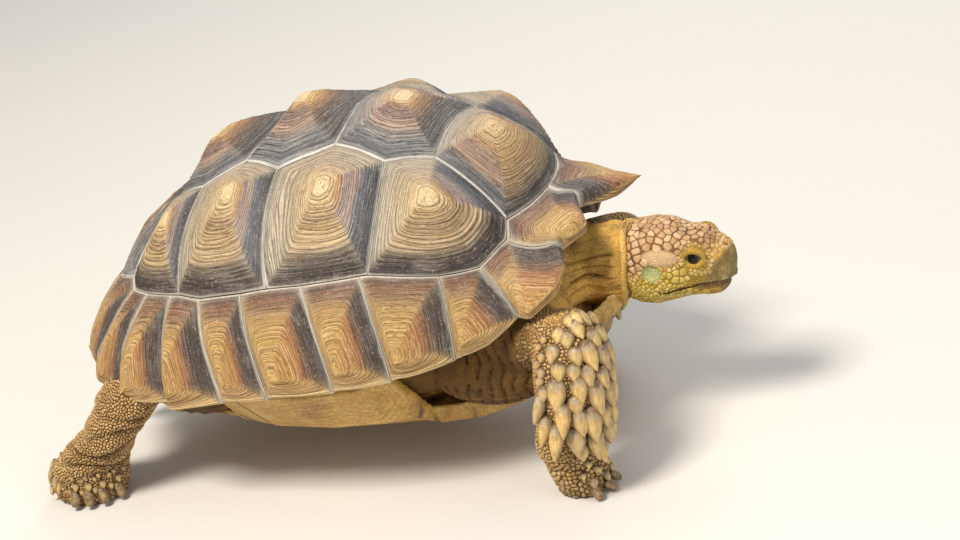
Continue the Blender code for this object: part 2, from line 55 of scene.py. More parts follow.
def addNode(tree, kind, inputs=(), output=0, stops=(), **settings):
    # adds one node and gives one of its outputs; inputs are links or plain values, by place or by name
    node = tree.nodes.new("ShaderNode" + kind)
    for name, value in settings.items():
        setattr(node, name, value)
    for socket, value in inputs.items() if isinstance(inputs, dict) else enumerate(inputs):
        if isinstance(value, bpy.types.NodeSocket):
            tree.links.new(value, node.inputs[socket])
        else:
            node.inputs[socket].default_value = value
    if stops:  # a ramp's colours, as pairs of place and hex
        band = node.color_ramp.elements
        while len(band) < len(stops):
            band.new(0.5)
        for element, (position, hexColour) in zip(band, stops):
            element.position, element.color = position, linear(hexColour)
    return node.outputs[output]


def newMaterial(name, **principled):
    made = bpy.data.materials.new(name)
    made.use_nodes = True
    shader = made.node_tree.nodes["Principled BSDF"]
    for socket, value in principled.items():
        shader.inputs[socket.replace("_", " ")].default_value = value
    return made, made.node_tree, shader


def glazed(tree, colour, coats):
    # lays thin coats over a colour: tint, how it blends, then the limits whose product says where it shows;
    # a limit is a pattern with the low and high that are read from it and the shares they give
    for tint, how, *limits in coats:
        share = 1.0
        for limit in limits:
            share = addNode(tree, "Math", (addNode(tree, "MapRange", limit), share), operation="MULTIPLY")
        colour = addNode(tree, "Mix", {0: share, 6: colour, 7: linear(tint)}, 2, data_type="RGBA", blend_type=how)
    return colour


def finished(made, tree, shader, colour, height, strength, depth):
    # links colour and relief to the shader; depth is the relief's height in metres
    bump = addNode(tree, "Bump", {"Height": height, "Strength": strength, "Distance": depth})
    tree.links.new(colour, shader.inputs["Base Color"])
    tree.links.new(bump, shader.inputs["Normal"])
    return made


def keep(piece, nodes=()):
    # links a finished piece to the frame
    if piece.name not in scene.collection.all_objects:
        scene.collection.objects.link(piece)
    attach(piece, "root")
    if nodes:
        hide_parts(*nodes)
    return piece


def outward(bm):
    # turns every face outwards, also where the whole shape came out inside out
    bmesh.ops.recalc_face_normals(bm, faces=bm.faces[:])
    if bm.calc_volume(signed=True) < 0:
        bmesh.ops.reverse_faces(bm, faces=bm.faces[:])


def asObject(bm, name, *looks):
    # turns a finished bmesh into a smooth-shaded object
    mesh = bpy.data.meshes.new(name)
    bm.to_mesh(mesh)
    bm.free()
    mesh.shade_smooth()
    for look in looks:
        mesh.materials.append(look)
    return bpy.data.objects.new(name, mesh)


def pin(mesh, name, values):
    # keeps one number per vertex on the mesh, for its material
    mesh.attributes.new(name, "FLOAT", "POINT").data.foreach_set("value", np.asarray(values, dtype=np.float32))


def steady(seed):
    # the same draws each run
    return np.random.default_rng(seed)


shell = {
    # the same sweep as the solids under it, in metres; turns are shares of a half turn from the front
    "halfLength": 0.240, "halfWidth": 0.183, "height": 0.208, "frontRise": 0.032, "rearRise": 0.014,
    "crownShift": 0.0655, "planPower": 0.8, "rearDip": 0.010, "plate": 0.005, "rimThinning": 0.5, "skirt": 0.72,
    "spread": (1.305, 1.195, 1.147), "fall": (0.950, 0.692, 0.944),  # front, side, rear
    "pitch": 4.5, "rideHeight": 0.1246, "centre": -0.051,
}
shellCorners = {
    "v1c1": (0.673, 0.278), "v1v2": (0.391, 0.221), "v2c1c2": (0.231, 0.326), "v2v3": (0.052, 0.275),
    "v3c2c3": (-0.052, 0.353), "v3v4": (-0.198, 0.246), "v4c3c4": (-0.319, 0.265), "v4v5": (-0.446, 0.155),
}
vertebralCentres = (
    (0.506, 0, 0.016), (0.239, 0, 0.016), (-0.130, 0, 0.020), (-0.350, 0, 0.022), (-0.630, 0, 0.013),
)
costalCentres = ((0.395, 0.432, 0.024), (0.090, 0.468, 0.020), (-0.130, 0.436, 0.017), (-0.331, 0.426, 0.018))
seamRing = (  # share of a half turn from the front, distance from the middle
    (0.000, 0.751), (0.125, 0.728), (0.150, 0.777), (0.214, 0.813), (0.283, 0.799), (0.386, 0.757),
    (0.398, 0.757), (0.470, 0.763), (0.500, 0.761), (0.523, 0.766), (0.576, 0.768), (0.614, 0.752),
    (0.627, 0.752), (0.684, 0.745), (0.729, 0.735), (0.754, 0.700), (0.870, 0.720), (1.000, 0.740),
)
costalFeet = (0.125, 0.386, 0.500, 0.614, 0.754)
marginalTops = (0.0, 0.150, 0.214, 0.283, 0.398, 0.470, 0.523, 0.576, 0.627, 0.684, 0.729, 0.870)
marginalRims = (0.0, 0.105, 0.165, 0.282, 0.376, 0.447, 0.505, 0.551, 0.631, 0.730, 0.830, 0.935)
edgeRight = (  # how the free edge leaves the plain rim: turn, forward, outward, up
    (0.000, 0.017, 0.000, 0.051), (0.070, 0.047, 0.008, 0.051), (0.105, 0.038, 0.016, 0.050),
    (0.125, 0.048, 0.025, 0.045), (0.140, 0.042, 0.028, 0.025), (0.155, 0.017, 0.025, 0.007),
    (0.165, 0.010, 0.021, 0.012), (0.225, 0.004, 0.010, 0.002), (0.282, 0.000, 0.000, 0.000),
    (0.551, 0.000, 0.000, 0.000), (0.616, -0.009, 0.002, -0.006), (0.631, 0.000, 0.000, 0.000),
    (0.712, -0.011, 0.000, -0.006), (0.730, 0.000, 0.000, 0.000), (0.812, -0.012, 0.000, -0.004),
    (0.830, -0.003, 0.000, 0.000), (0.915, -0.015, 0.000, 0.001), (0.935, -0.007, 0.000, 0.001),
    (1.000, -0.002, 0.000, -0.014),
)
edgeLeft = (
    (0.000, 0.017, 0.000, 0.051), (0.070, 0.065, 0.006, 0.048), (0.105, 0.016, 0.016, 0.044),
    (0.125, 0.020, 0.025, 0.031), (0.140, 0.011, 0.028, 0.010), (0.155, 0.008, 0.025, 0.000),
    (0.165, 0.006, 0.018, 0.004),
) + edgeRight[7:]
shellPlace = Matrix.Translation((shell["centre"], 0, shell["rideHeight"])) @ Matrix.Rotation(
    -math.radians(shell["pitch"]), 4, "Y")


def column(table, where, index):
    # reads one column of a table at places along its first
    rows = np.array(table)
    return np.interp(where, rows[:, 0], rows[:, index])


def smoothStep(values, low, high):
    # eases from 0 at low to 1 at high
    t = np.clip((values - low) / (high - low), 0, 1)
    return t * t * (3 - 2 * t)


def bell(distance, width, power=2):
    # 1 in the middle, falling off smoothly over the width; a higher power makes a flat patch with an edge
    return np.exp(-((distance / width) ** power))


def shellPoints(disc):
    # carries points of the unit disc (last axis: forward, left) to the smooth shell, in its own frame
    p, q = disc[..., 0], disc[..., 1]
    radius = np.maximum(np.hypot(p, q), 1e-6)
    angle = np.arctan2(np.abs(q), p)
    turn = angle / math.pi
    ahead, across = np.cos(angle), np.sin(angle)
    front, rear = np.maximum(ahead, 0) ** 2, np.maximum(-ahead, 0) ** 2
    weights = np.stack([front, 1 - front - rear, rear])
    spread = np.tensordot(shell["spread"], weights, 1)
    fall = np.tensordot(shell["fall"], weights, 1)
    held = np.minimum(radius, 1.0) * math.pi / 2
    reach, height = np.sin(held) ** spread, np.maximum(np.cos(held), 0) ** fall
    rim = shell["frontRise"] * bell(angle, 0.75)
    rim += shell["rearRise"] * bell(math.pi - angle, 0.9)
    x = shell["halfLength"] * np.copysign(np.abs(ahead) ** shell["planPower"], ahead) * reach
    x = x + shell["crownShift"] * (1 - np.minimum(radius, 1.0))
    y = shell["halfWidth"] * across ** shell["planPower"] * reach
    z = rim + (shell["height"] - rim) * height
    skirt = smoothStep(radius, shell["skirt"], 1.0)
    edge = [np.where(q > 0, column(edgeLeft, turn, k), column(edgeRight, turn, k)) for k in (1, 2, 3)]
    dip = shell["rearDip"] * np.exp(-(((p + 0.61) / 0.17) ** 2) - (q / 0.33) ** 2)
    side = np.where(q > 0, 1, -1)
    return np.stack([x + skirt * edge[0] + 0.6 * dip, side * (y + skirt * edge[1]),
                     z + skirt * edge[2] - 0.8 * dip], axis=-1)


def shellNormals(disc):
    # from two short steps over the smooth shell
    step = 0.004
    shrink = np.minimum(1.0, (1 - step) / np.maximum(np.hypot(disc[..., 0], disc[..., 1]), 1e-6))[..., None]
    disc = disc * shrink
    along = shellPoints(disc + (step, 0)) - shellPoints(disc - (step, 0))
    aside = shellPoints(disc + (0, step)) - shellPoints(disc - (0, step))
    normal = np.cross(along, aside)
    return normal / np.maximum(np.linalg.norm(normal, axis=-1, keepdims=True), 1e-12)


plateStep = 0.0115  # spacing of the columns round a plate, on the disc


def straight(start, end):
    # a plate's straight side, without its last point
    start, end = np.array(start), np.array(end)
    count = max(2, round(np.linalg.norm(end - start) / plateStep))
    return [start + (end - start) * k / count for k in range(count)]


def arc(start, end, side, radius=None):
    # along the seam above the marginals, or along the rim where radius is 1
    count = max(2, round(abs(end - start) * math.pi * (0.76 if radius is None else 1) / plateStep))
    turns = start + (end - start) * np.arange(count) / count
    radii = column(seamRing, turns, 1) if radius is None else np.full(count, radius)
    return [np.array((r * math.cos(t * math.pi), side * r * math.sin(t * math.pi)))
            for t, r in zip(turns, radii)]


def discPoint(turn, radius, side):
    return np.array((radius * math.cos(turn * math.pi), side * radius * math.sin(turn * math.pi)))


def seamPoint(turn, side):
    return discPoint(turn, float(column(seamRing, turn, 1)), side)


def cornerPoint(name, side):
    p, q = shellCorners[name]
    return np.array((p, side * q))


def vertebralSides(number):
    # each side is named for the flank whose rings and colours it carries
    left = {1: ["v1c1", "v1v2"], 2: ["v1v2", "v2c1c2", "v2v3"], 3: ["v2v3", "v3c2c3", "v3v4"],
            4: ["v3v4", "v4c3c4", "v4v5"], 5: ["v4v5"]}[number]
    leftPoints = [cornerPoint(name, 1) for name in left]
    rightPoints = [cornerPoint(name, -1) for name in reversed(left)]
    sides = []
    if number == 1:
        sides.append(("front", arc(costalFeet[0], 0.0, -1) + arc(0.0, costalFeet[0], 1)))
        leftPoints.insert(0, seamPoint(costalFeet[0], 1))
        rightPoints.append(seamPoint(costalFeet[0], -1))
    else:
        sides.append(("front", straight(rightPoints[-1], leftPoints[0])))
    for here, there in zip(leftPoints, leftPoints[1:]):
        sides.append(("left", straight(here, there)))
    if number == 5:
        corner = seamPoint(costalFeet[4], 1)
        sides.append(("left", straight(leftPoints[0], corner)))
        sides.append(("rear", arc(costalFeet[4], 1.0, 1) + arc(1.0, costalFeet[4], -1)))
        sides.append(("right", straight(seamPoint(costalFeet[4], -1), rightPoints[0])))
    else:
        sides.append(("rear", straight(leftPoints[-1], rightPoints[0])))
    for here, there in zip(rightPoints, rightPoints[1:]):
        sides.append(("right", straight(here, there)))
    return sides


def costalSides(number, side):
    tops = {1: ["v1c1", "v1v2", "v2c1c2"], 2: ["v2c1c2", "v2v3", "v3c2c3"],
            3: ["v3c2c3", "v3v4", "v4c3c4"], 4: ["v4c3c4", "v4v5"]}[number]
    top = [cornerPoint(name, side) for name in tops]
    if number == 1:
        top.insert(0, seamPoint(costalFeet[0], side))
    frontFoot, rearFoot = costalFeet[number - 1], costalFeet[number]
    sides = [("front" if number == 1 and k < 2 else "crown", straight(*pair))
             for k, pair in enumerate(zip(top, top[1:]))]
    sides.append(("rear", straight(top[-1], seamPoint(rearFoot, side))))
    sides.append(("foot", arc(rearFoot, frontFoot, side)))
    if number > 1:
        sides.append(("front", straight(seamPoint(frontFoot, side), top[0])))
    return sides


def marginalSides(number, side):
    top, rim = marginalTops[number - 1:number + 1], marginalRims[number - 1:number + 1]
    middles = [discPoint((t + r) / 2, (float(column(seamRing, t, 1)) + 1) / 2, side) for t, r in zip(top, rim)]
    ends = [seamPoint(turn, side) for turn in top]
    rims = [discPoint(turn, 1.0, side) for turn in rim]
    return [
        ("crown", arc(top[0], top[1], side)),
        ("rear", straight(ends[1], middles[1]) + straight(middles[1], rims[1])),
        ("foot", arc(rim[1], rim[0], side, 1.0)),
        ("front", straight(rims[0], middles[0]) + straight(middles[0], ends[0])),
    ]


def supracaudalSides():
    top, rim = marginalTops[11], marginalRims[11]
    middle = discPoint((top + rim) / 2, (float(column(seamRing, top, 1)) + 1) / 2, 1)
    low, flipped = discPoint(rim, 1.0, 1), np.array((1, -1))
    return [
        ("crown", arc(top, 1.0, 1) + arc(1.0, top, -1)),
        ("right", straight(seamPoint(top, -1), middle * flipped) + straight(middle * flipped, low * flipped)),
        ("foot", arc(rim, 1.0, -1, 1.0) + arc(1.0, rim, 1, 1.0)),
        ("left", straight(low, middle) + straight(middle, seamPoint(top, 1))),
    ]


def rolled(values, width):
    # circular smoothing along the columns
    offsets = np.arange(-3 * math.ceil(width), 3 * math.ceil(width) + 1)
    kernel = np.exp(-0.5 * (offsets / width) ** 2)
    kernel /= kernel.sum()
    return sum(weight * np.roll(values, shift, axis=-1) for shift, weight in zip(offsets, kernel))


def softNoise(rng, rows, columns, across, along):
    # smooth noise over rings and columns, about unit height
    grid = rng.normal(size=(rows, columns))
    grid = rolled(grid, along)
    grid = rolled(grid.T, across).T
    return grid / max(grid.std(), 1e-9)


ringStyle = {
    # shares run from the seam (0) to the growth centre (1)
    "first": 0.030, "uneven": 0.55, "wander": 0.008, "seamDepth": 0.0007,
    "areola": 0.86,  # the flat top begins here
    "profile": ((0.0, 0.0), (0.22, 1.0), (0.42, 0.85), (0.72, 0.4), (1.0, 0.0)),  # one ring, from edge to edge
    "spacing": 0.0026,  # metres from ring to ring
    "gap": 0.0013,  # half of the seam between two plates, on the disc
    "underside": 0.02,  # the growth that marks a plate's lower face
    "lowRows": (0.0, 0.10, 0.22, 0.36, 0.52, 0.70, 0.86),  # insets of the lower face
    # height of the rings on each flank, in mm
    "height": {"front": 0.26, "rear": 0.26, "crown": 0.24, "foot": 0.85, "left": 0.60, "right": 0.60},
}


def ringShares(rng, reach, spacing, last):
    # uneven growth rings, each with a steep outer edge and a long inner slope
    count = max(4, round(reach * (last - ringStyle["first"]) / spacing))
    widths = 1 + ringStyle["uneven"] * rng.uniform(-1, 1, count)
    widths *= np.linspace(1.15, 0.85, count)
    edges = np.concatenate([[0], np.cumsum(widths)]) / widths.sum()
    edges = ringStyle["first"] + edges * (last - ringStyle["first"])
    shares, phases, numbers = [0.0, 0.010, 0.022], [0.0, 0.0, 0.0], [0, 0, 0]
    for number, (here, there) in enumerate(zip(edges, edges[1:])):
        for phase, _ in ringStyle["profile"][:-1]:
            shares.append(here + (there - here) * phase)
            phases.append(phase)
            numbers.append(number + 1)
    tops = np.linspace(last, 0.985, 7)
    return (np.array(shares + list(tops)), np.array(phases + [0.0] + [0.5] * 6),
            np.array(numbers + [count + 1] * 7))


def columnsOf(face, places):
    # which column of the outline each corner of a face belongs to
    spots = np.array([vert.co[:] for vert in face.verts])
    return np.linalg.norm(spots[:, None] - places[None], axis=-1).argmin(axis=1)


# how far the long front horn is lowered at stations along it, where it ends and where it begins to taper
longHorn = {"stations": (0.174, 0.195, 0.216, 0.234, 0.243), "above": (0.0, 0.0045, 0.0100, 0.0100, 0.0050),
            "below": (0.0, 0.0035, 0.0070, 0.0068, 0.0022), "tip": (0.243, 0.0575, 0.2285),
            "start": 0.224, "run": 0.018}


def shellPlate(name, sides, centre, peak, seed, spacing, last=0.84, tall=1.0):
    # one horn plate; its rings run to the share last, and tall scales their height
    rng = steady(seed)
    outline = np.array([point for _, points in sides for point in points])
    kinds = [kind for kind, points in sides for _ in points]
    outline = outline + (centre - outline) * ringStyle["gap"] / np.linalg.norm(centre - outline, axis=1,
                                                                               keepdims=True)
    count = len(outline)
    flat = shellPoints(outline)
    reach = np.linalg.norm(flat - shellPoints(np.array([centre])), axis=1).mean()
    shares, phases, numbers = ringShares(rng, reach, spacing, last)
    rows = len(shares)

    # which side of the plate each column belongs to
    weight = {kind: rolled(np.array([float(k == kind) for k in kinds]), 1.1)
              for kind in ("front", "rear", "crown", "foot", "left", "right")}
    height = sum(weight[kind] * ringStyle["height"][kind] for kind in weight) * mm * tall

    # rings lose the plate's corners as they near the growth centre
    arm = outline - centre
    rounded = np.stack([rolled(arm[:, k], max(1.5, count * 0.05)) for k in (0, 1)], axis=1)
    ease = np.clip((shares - 0.03) / 0.45, 0, 1)[:, None, None] * 0.8
    arms = arm[None] * (1 - ease) + rounded[None] * ease
    wander = softNoise(rng, rows, count, 3.0, 5.0) * ringStyle["wander"]
    wander *= np.clip((shares - 0.02) / 0.1, 0, 1)[:, None] * np.clip((0.98 - shares) / 0.15, 0, 1)[:, None]
    along = 1 - np.clip(shares[:, None] + wander, 0, 0.995)
    disc = centre + arms * along[..., None]

    saw = np.interp(phases, *np.array(ringStyle["profile"]).T)
    steep = ringStyle["profile"][1][0]
    strength = rng.uniform(0.45, 1.35, numbers.max() + 1)[numbers]
    strength = strength[:, None] * (1 + 0.35 * softNoise(rng, rows, count, 4.0, 6.0))
    climbed = 1 - along
    flatTop = ringStyle["areola"]
    raised = peak * np.where(climbed < flatTop, climbed**1.1, flatTop**1.1 + 0.3 * (climbed - flatTop))
    raised += saw[:, None] * np.clip(strength, 0.1, 2.2) * height[None]
    seam = bell(shares, 0.012)[:, None]
    rimmed = weight["foot"] if name.startswith(("marginal", "supra")) else 0 * weight["foot"]
    raised -= seam * ringStyle["seamDepth"] * (1 - 0.5 * rimmed)[None]
    spot = shellPoints(disc) + shellNormals(disc) * raised[..., None]

    # every growth ring is an inset of the last, above and below
    bm = bmesh.new()
    lowFace = bm.faces.new([bm.verts.new((*point, 0)) for point in outline])
    grown = bmesh.ops.extrude_face_region(bm, geom=[lowFace])
    topFace = next(item for item in grown["geom"] if isinstance(item, bmesh.types.BMFace))
    places = np.column_stack([outline, np.zeros(count)])
    order, lowOrder = columnsOf(topFace, places), columnsOf(lowFace, places)
    marks = {key: bm.verts.layers.float.new(key) for key in ("growth", "groove", "front", "foot", "crown", "drift")}
    drift = softNoise(rng, rows, count, 2.0, 4.0)
    for row in range(rows):
        if row:
            bmesh.ops.inset_individual(bm, faces=[topFace], thickness=0.0)
        for k, vert in zip(order, topFace.verts):
            vert.co = spot[row, k]
            vert[marks["growth"]] = climbed[row, k]
            vert[marks["groove"]] = 1 - min(1.0, phases[row] / steep) if numbers[row] else 0.0
            vert[marks["front"]] = weight["front"][k]
            vert[marks["foot"]] = weight["foot"][k] + weight["left"][k] + weight["right"][k]
            vert[marks["crown"]] = weight["crown"][k]
            vert[marks["drift"]] = drift[row, k]
    bmesh.ops.poke(bm, faces=[topFace])
    for share in ringStyle["lowRows"]:
        if share:
            bmesh.ops.inset_individual(bm, faces=[lowFace], thickness=0.0)
            lowOrder = columnsOf(lowFace, places)
        low = outline + (centre - outline) * share
        thinning = np.clip((np.hypot(*low.T) - shell["skirt"]) / (1 - shell["skirt"]), 0, None)
        thin = shell["plate"] * (1 - shell["rimThinning"] * thinning)
        places = shellPoints(low) - shellNormals(low) * thin[:, None]
        for k, vert in zip(lowOrder, lowFace.verts):
            vert.co = places[k]
            vert[marks["growth"]] = ringStyle["underside"]
    bmesh.ops.transform(bm, matrix=shellPlace, verts=bm.verts[:])
    if name == "marginal_left_1_horn":  # the long front horn slopes down to a thin tip
        for vert in bm.verts:
            under = abs(vert[marks["growth"]] - ringStyle["underside"]) < 1e-6
            vert.co.z -= float(np.interp(vert.co.x, longHorn["stations"], longHorn["below" if under else "above"]))
            gather = 0.85 * min(1.0, max(0.0, (vert.co.x - longHorn["start"]) / longHorn["run"])) ** 1.3
            for axis in (1, 2):
                vert.co[axis] += (longHorn["tip"][axis] - vert.co[axis]) * gather
    outward(bm)
    return asObject(bm, name)


hornLook = {
    # colours from the seam (0) to the growth centre (1) on each flank of a plate
    "costal": {
        "front": ((0.00, "e6e2d8"), (0.025, "8d8a84"), (0.05, "37373d"), (0.20, "474b55"), (0.34, "606168"),
                  (0.46, "a98f80"), (0.58, "8d7c7a"), (0.70, "b8895a"), (0.82, "d9b47c"), (1.00, "e2c895")),
        "rear": ((0.00, "e6e2d8"), (0.03, "8b8478"), (0.10, "b6aa93"), (0.35, "b3a284"), (0.62, "c2aa80"),
                 (0.80, "d9bd88"), (1.00, "e2c895")),
        "crown": ((0.00, "dcd3c2"), (0.03, "8f8170"), (0.10, "b3a38c"), (0.45, "b7a285"), (0.75, "cbac80"),
                  (1.00, "e2c895")),
        "foot": ((0.00, "d8d2c6"), (0.025, "5c5048"), (0.05, "2e2320"), (0.17, "43362f"), (0.25, "7c6a55"),
                 (0.34, "bda177"), (0.48, "b99a69"), (0.62, "9c7c50"), (0.76, "c3a26c"), (0.86, "dcbf88"),
                 (1.00, "e4cb98")),
    },
    "vertebral": {
        "front": ((0.00, "e0dcd2"), (0.03, "77746e"), (0.06, "403e3c"), (0.25, "4f4c4b"), (0.45, "61493a"),
                  (0.62, "966a42"), (0.78, "d6a562"), (0.88, "e2c68f"), (1.00, "e9d2a0")),
        "rear": ((0.00, "e0dcd2"), (0.03, "8a8986"), (0.20, "8f8d8a"), (0.50, "ab9888"), (0.75, "d2b087"),
                 (1.00, "e9d2a0")),
        "crown": ((0.00, "dcd3c2"), (0.10, "b3a38c"), (0.75, "cfb187"), (1.00, "f0dcae")),
        "foot": ((0.00, "ece8df"), (0.03, "8c8d8e"), (0.06, "57595c"), (0.20, "74777b"), (0.33, "8e8580"),
                 (0.44, "bb9a83"), (0.56, "8c7165"), (0.68, "86695a"), (0.78, "bf9467"), (0.86, "dfc08a"),
                 (1.00, "e9d2a0")),
    },
    "nuchal": {
        "front": ((0.00, "c9c0ae"), (0.04, "46413a"), (0.14, "5a5246"), (0.28, "9d7f56"), (0.60, "bf965c"),
                  (1.00, "e3c084")),
        "rear": ((0.00, "e0dcd2"), (0.05, "a49a8c"), (0.50, "b9a283"), (1.00, "e3c084")),
        "crown": ((0.00, "dcd3c2"), (0.10, "b3a38c"), (0.75, "cfb187"), (1.00, "e3c084")),
        "foot": ((0.00, "e0dcd2"), (0.03, "5d5f60"), (0.18, "5f6266"), (0.32, "b08d72"), (0.52, "957666"),
                 (0.70, "bf955f"), (1.00, "e3c084")),
    },
    "marginal": {
        "front": ((0.00, "e2dccf"), (0.03, "a39a8c"), (0.06, "382c27"), (0.22, "42352e"), (0.33, "5f4230"),
                  (0.45, "9c6230"), (0.58, "c08a44"), (1.00, "d0a457")),
        "rear": ((0.00, "cfc6b4"), (0.15, "a98d5e"), (0.40, "c49a55"), (1.00, "cfa65c")),
        "crown": ((0.00, "d4ccbd"), (0.03, "8a7a6c"), (0.06, "6a4c39"), (0.16, "8a5c3c"), (0.28, "96714a"),
                  (0.40, "bb9352"), (0.60, "cba258"), (1.00, "d2aa60")),
        "foot": ((0.00, "dfc084"), (0.20, "b98f52"), (0.60, "c39a55"), (1.00, "d2a95f")),
    },
}


hornGrain = {
    # sizes in mm, with detail and roughness: cloudy tone, scuffs
    "cloud": (35.714, 5.0, 0.60), "scuff": (2.381, 4.0, 0.65),
    # lines along the rings: how many to a plate, how far they waver, size along a line, detail, roughness
    "lines": (150.0, 0.8, 71.43, 3.0, 0.7), "hairlines": (330.0, 0.0, 38.46, 2.0, 0.6),
}


def hornMaterial(name, palette, lineDark):
    # keratin plate: dull, worn, layered; lines of old growth hold dust and show dark
    made, tree, shader = newMaterial(name, Roughness=0.62, IOR=1.54)
    place = addNode(tree, "TexCoord", output="Object")
    growth, drift, groove = (addNode(tree, "Attribute", output="Fac", attribute_name=key)
                             for key in ("growth", "drift", "groove"))
    cloud, scuff = (addNode(tree, "TexNoise", {"Vector": place, "Scale": 1000 / size, "Detail": detail,
                                               "Roughness": rough})
                    for size, detail, rough in (hornGrain["cloud"], hornGrain["scuff"]))

    # bands of tone wander along the rings, but only well inside the seam
    shifted = addNode(tree, "Math", (growth, addNode(tree, "MapRange", (cloud, 0.25, 0.75, -0.055, 0.055))),
                      operation="ADD")
    shifted = addNode(tree, "Math", (drift, 0.012, shifted), operation="MULTIPLY_ADD")
    halved = addNode(tree, "Math", (growth, 0.5), operation="MULTIPLY")
    shifted = addNode(tree, "Math", (shifted, halved), operation="MAXIMUM")
    inside = addNode(tree, "MapRange", (growth, 0.02, 0.08))
    read = addNode(tree, "Mix", {"Factor": inside, "A": growth, "B": shifted}, data_type="FLOAT")
    colour = addNode(tree, "ValToRGB", (read,), stops=palette["rear"])
    for flank in ("crown", "front", "foot"):
        share = addNode(tree, "Attribute", output="Fac", attribute_name=flank)
        tint = addNode(tree, "ValToRGB", (read,), stops=palette[flank])
        colour = addNode(tree, "Mix", {0: share, 6: colour, 7: tint}, 2, data_type="RGBA")

    # fine lines along the rings, a few tenths of a millimetre to a millimetre apart
    threads = []
    for count, waver, size, detail, rough in (hornGrain["lines"], hornGrain["hairlines"]):
        across = [addNode(tree, "Math", pair, operation="MULTIPLY") for pair in ((growth, count), (drift, waver))]
        run = addNode(tree, "VectorMath", (place, (1000 / size,) * 3, addNode(tree, "CombineXYZ", across)),
                      operation="MULTIPLY_ADD")
        threads.append(addNode(tree, "TexNoise", {"Vector": run, "Scale": 1.0, "Detail": detail,
                                                  "Roughness": rough}))
    lines, hairlines = threads
    colour = glazed(tree, colour, (
        ("4a4038", "MULTIPLY", (lines, 0.34, 0.52, 0.85, 0.0)),
        ("efe6d2", "MIX", (lines, 0.52, 0.74, 0.0, 0.60), (growth, 0.04, 0.36, 0.26, 1.0)),
        ("5a4638", "MULTIPLY", (hairlines, 0.36, 0.45, 0.75, 0.0)),
        ("2e241d", "MIX", (groove, 0.0, 1.0, 0.0, lineDark), (cloud, 0.3, 0.7, 0.5, 1.0)),
        # dust and scuffs, thickest near the seams
        ("cbc4b6", "MIX", (growth, 0.30, 0.03, 0.0, 1.0), (cloud, 0.48, 0.64, 0.0, 0.42),
         (lines, 0.46, 0.60, 0.05, 1.0)),
        ("d8ccb4", "MIX", (scuff, 0.56, 0.75, 0.0, 0.35)),
        ("3b3027", "MIX", (scuff, 0.44, 0.30, 0.0, 0.30)),
    ))
    tree.links.new(addNode(tree, "MapRange", (lines, 0.3, 0.7, 0.52, 0.72)), shader.inputs["Roughness"])
    scuffed = addNode(tree, "Math", (scuff, 0.3), operation="MULTIPLY")
    relief = addNode(tree, "Math", (lines, 0.7, scuffed), operation="MULTIPLY_ADD")
    return finished(made, tree, shader, colour, relief, 0.55, 0.0005)


def buildShell():
    horns = {family: hornMaterial(f"{family}Keratin", hornLook[family], dark)
             for family, dark in (("costal", 0.85), ("vertebral", 0.80), ("nuchal", 0.6), ("marginal", 0.55))}
    pieces = []
    for number, (p, q, peak) in enumerate(vertebralCentres, 1):
        plate = shellPlate(f"vertebral_{number}_horn", vertebralSides(number), np.array((p, q)), peak,
                           10 + number, ringStyle["spacing"])
        plate.data.materials.append(horns["nuchal" if number == 1 else "vertebral"])
        pieces.append(keep(plate, [f"vertebral_{number}"]))
    for side, word in ((-1, "right"), (1, "left")):
        for number, (p, q, peak) in enumerate(costalCentres, 1):
            plate = shellPlate(f"costal_{word}_{number}_horn", costalSides(number, side),
                               np.array((p, side * q)), peak, 30 + number + 10 * side, ringStyle["spacing"])
            plate.data.materials.append(horns["costal"])
            pieces.append(keep(plate, [f"costal_{word}_{number}"]))
        for number in range(1, 12):
            behind = 0.91 if number < 9 else 0.74  # the growth centre lies near the rear corner
            low = marginalRims[number - 1] * (1 - behind) + marginalRims[number] * behind
            plate = shellPlate(f"marginal_{word}_{number}_horn", marginalSides(number, side),
                               discPoint(low, 0.975, side), 0.0025, 60 + number + 15 * side,
                               ringStyle["spacing"], 0.90, 0.9)
            plate.data.materials.append(horns["marginal"])
            pieces.append(keep(plate, [f"marginal_{word}_{number}"]))
    plate = shellPlate("supracaudal_horn", supracaudalSides(), discPoint(1.0, 0.9, 1), 0.004, 99, 0.0028,
                       0.80, 0.6)
    plate.data.materials.append(horns["marginal"])
    pieces.append(keep(plate, ["supracaudal"]))
    total = sum(len(p.data.loops) - 2 * len(p.data.polygons) for p in pieces)
    print("shell plates", len(pieces), "triangles", total)
    return pieces


buildShell()

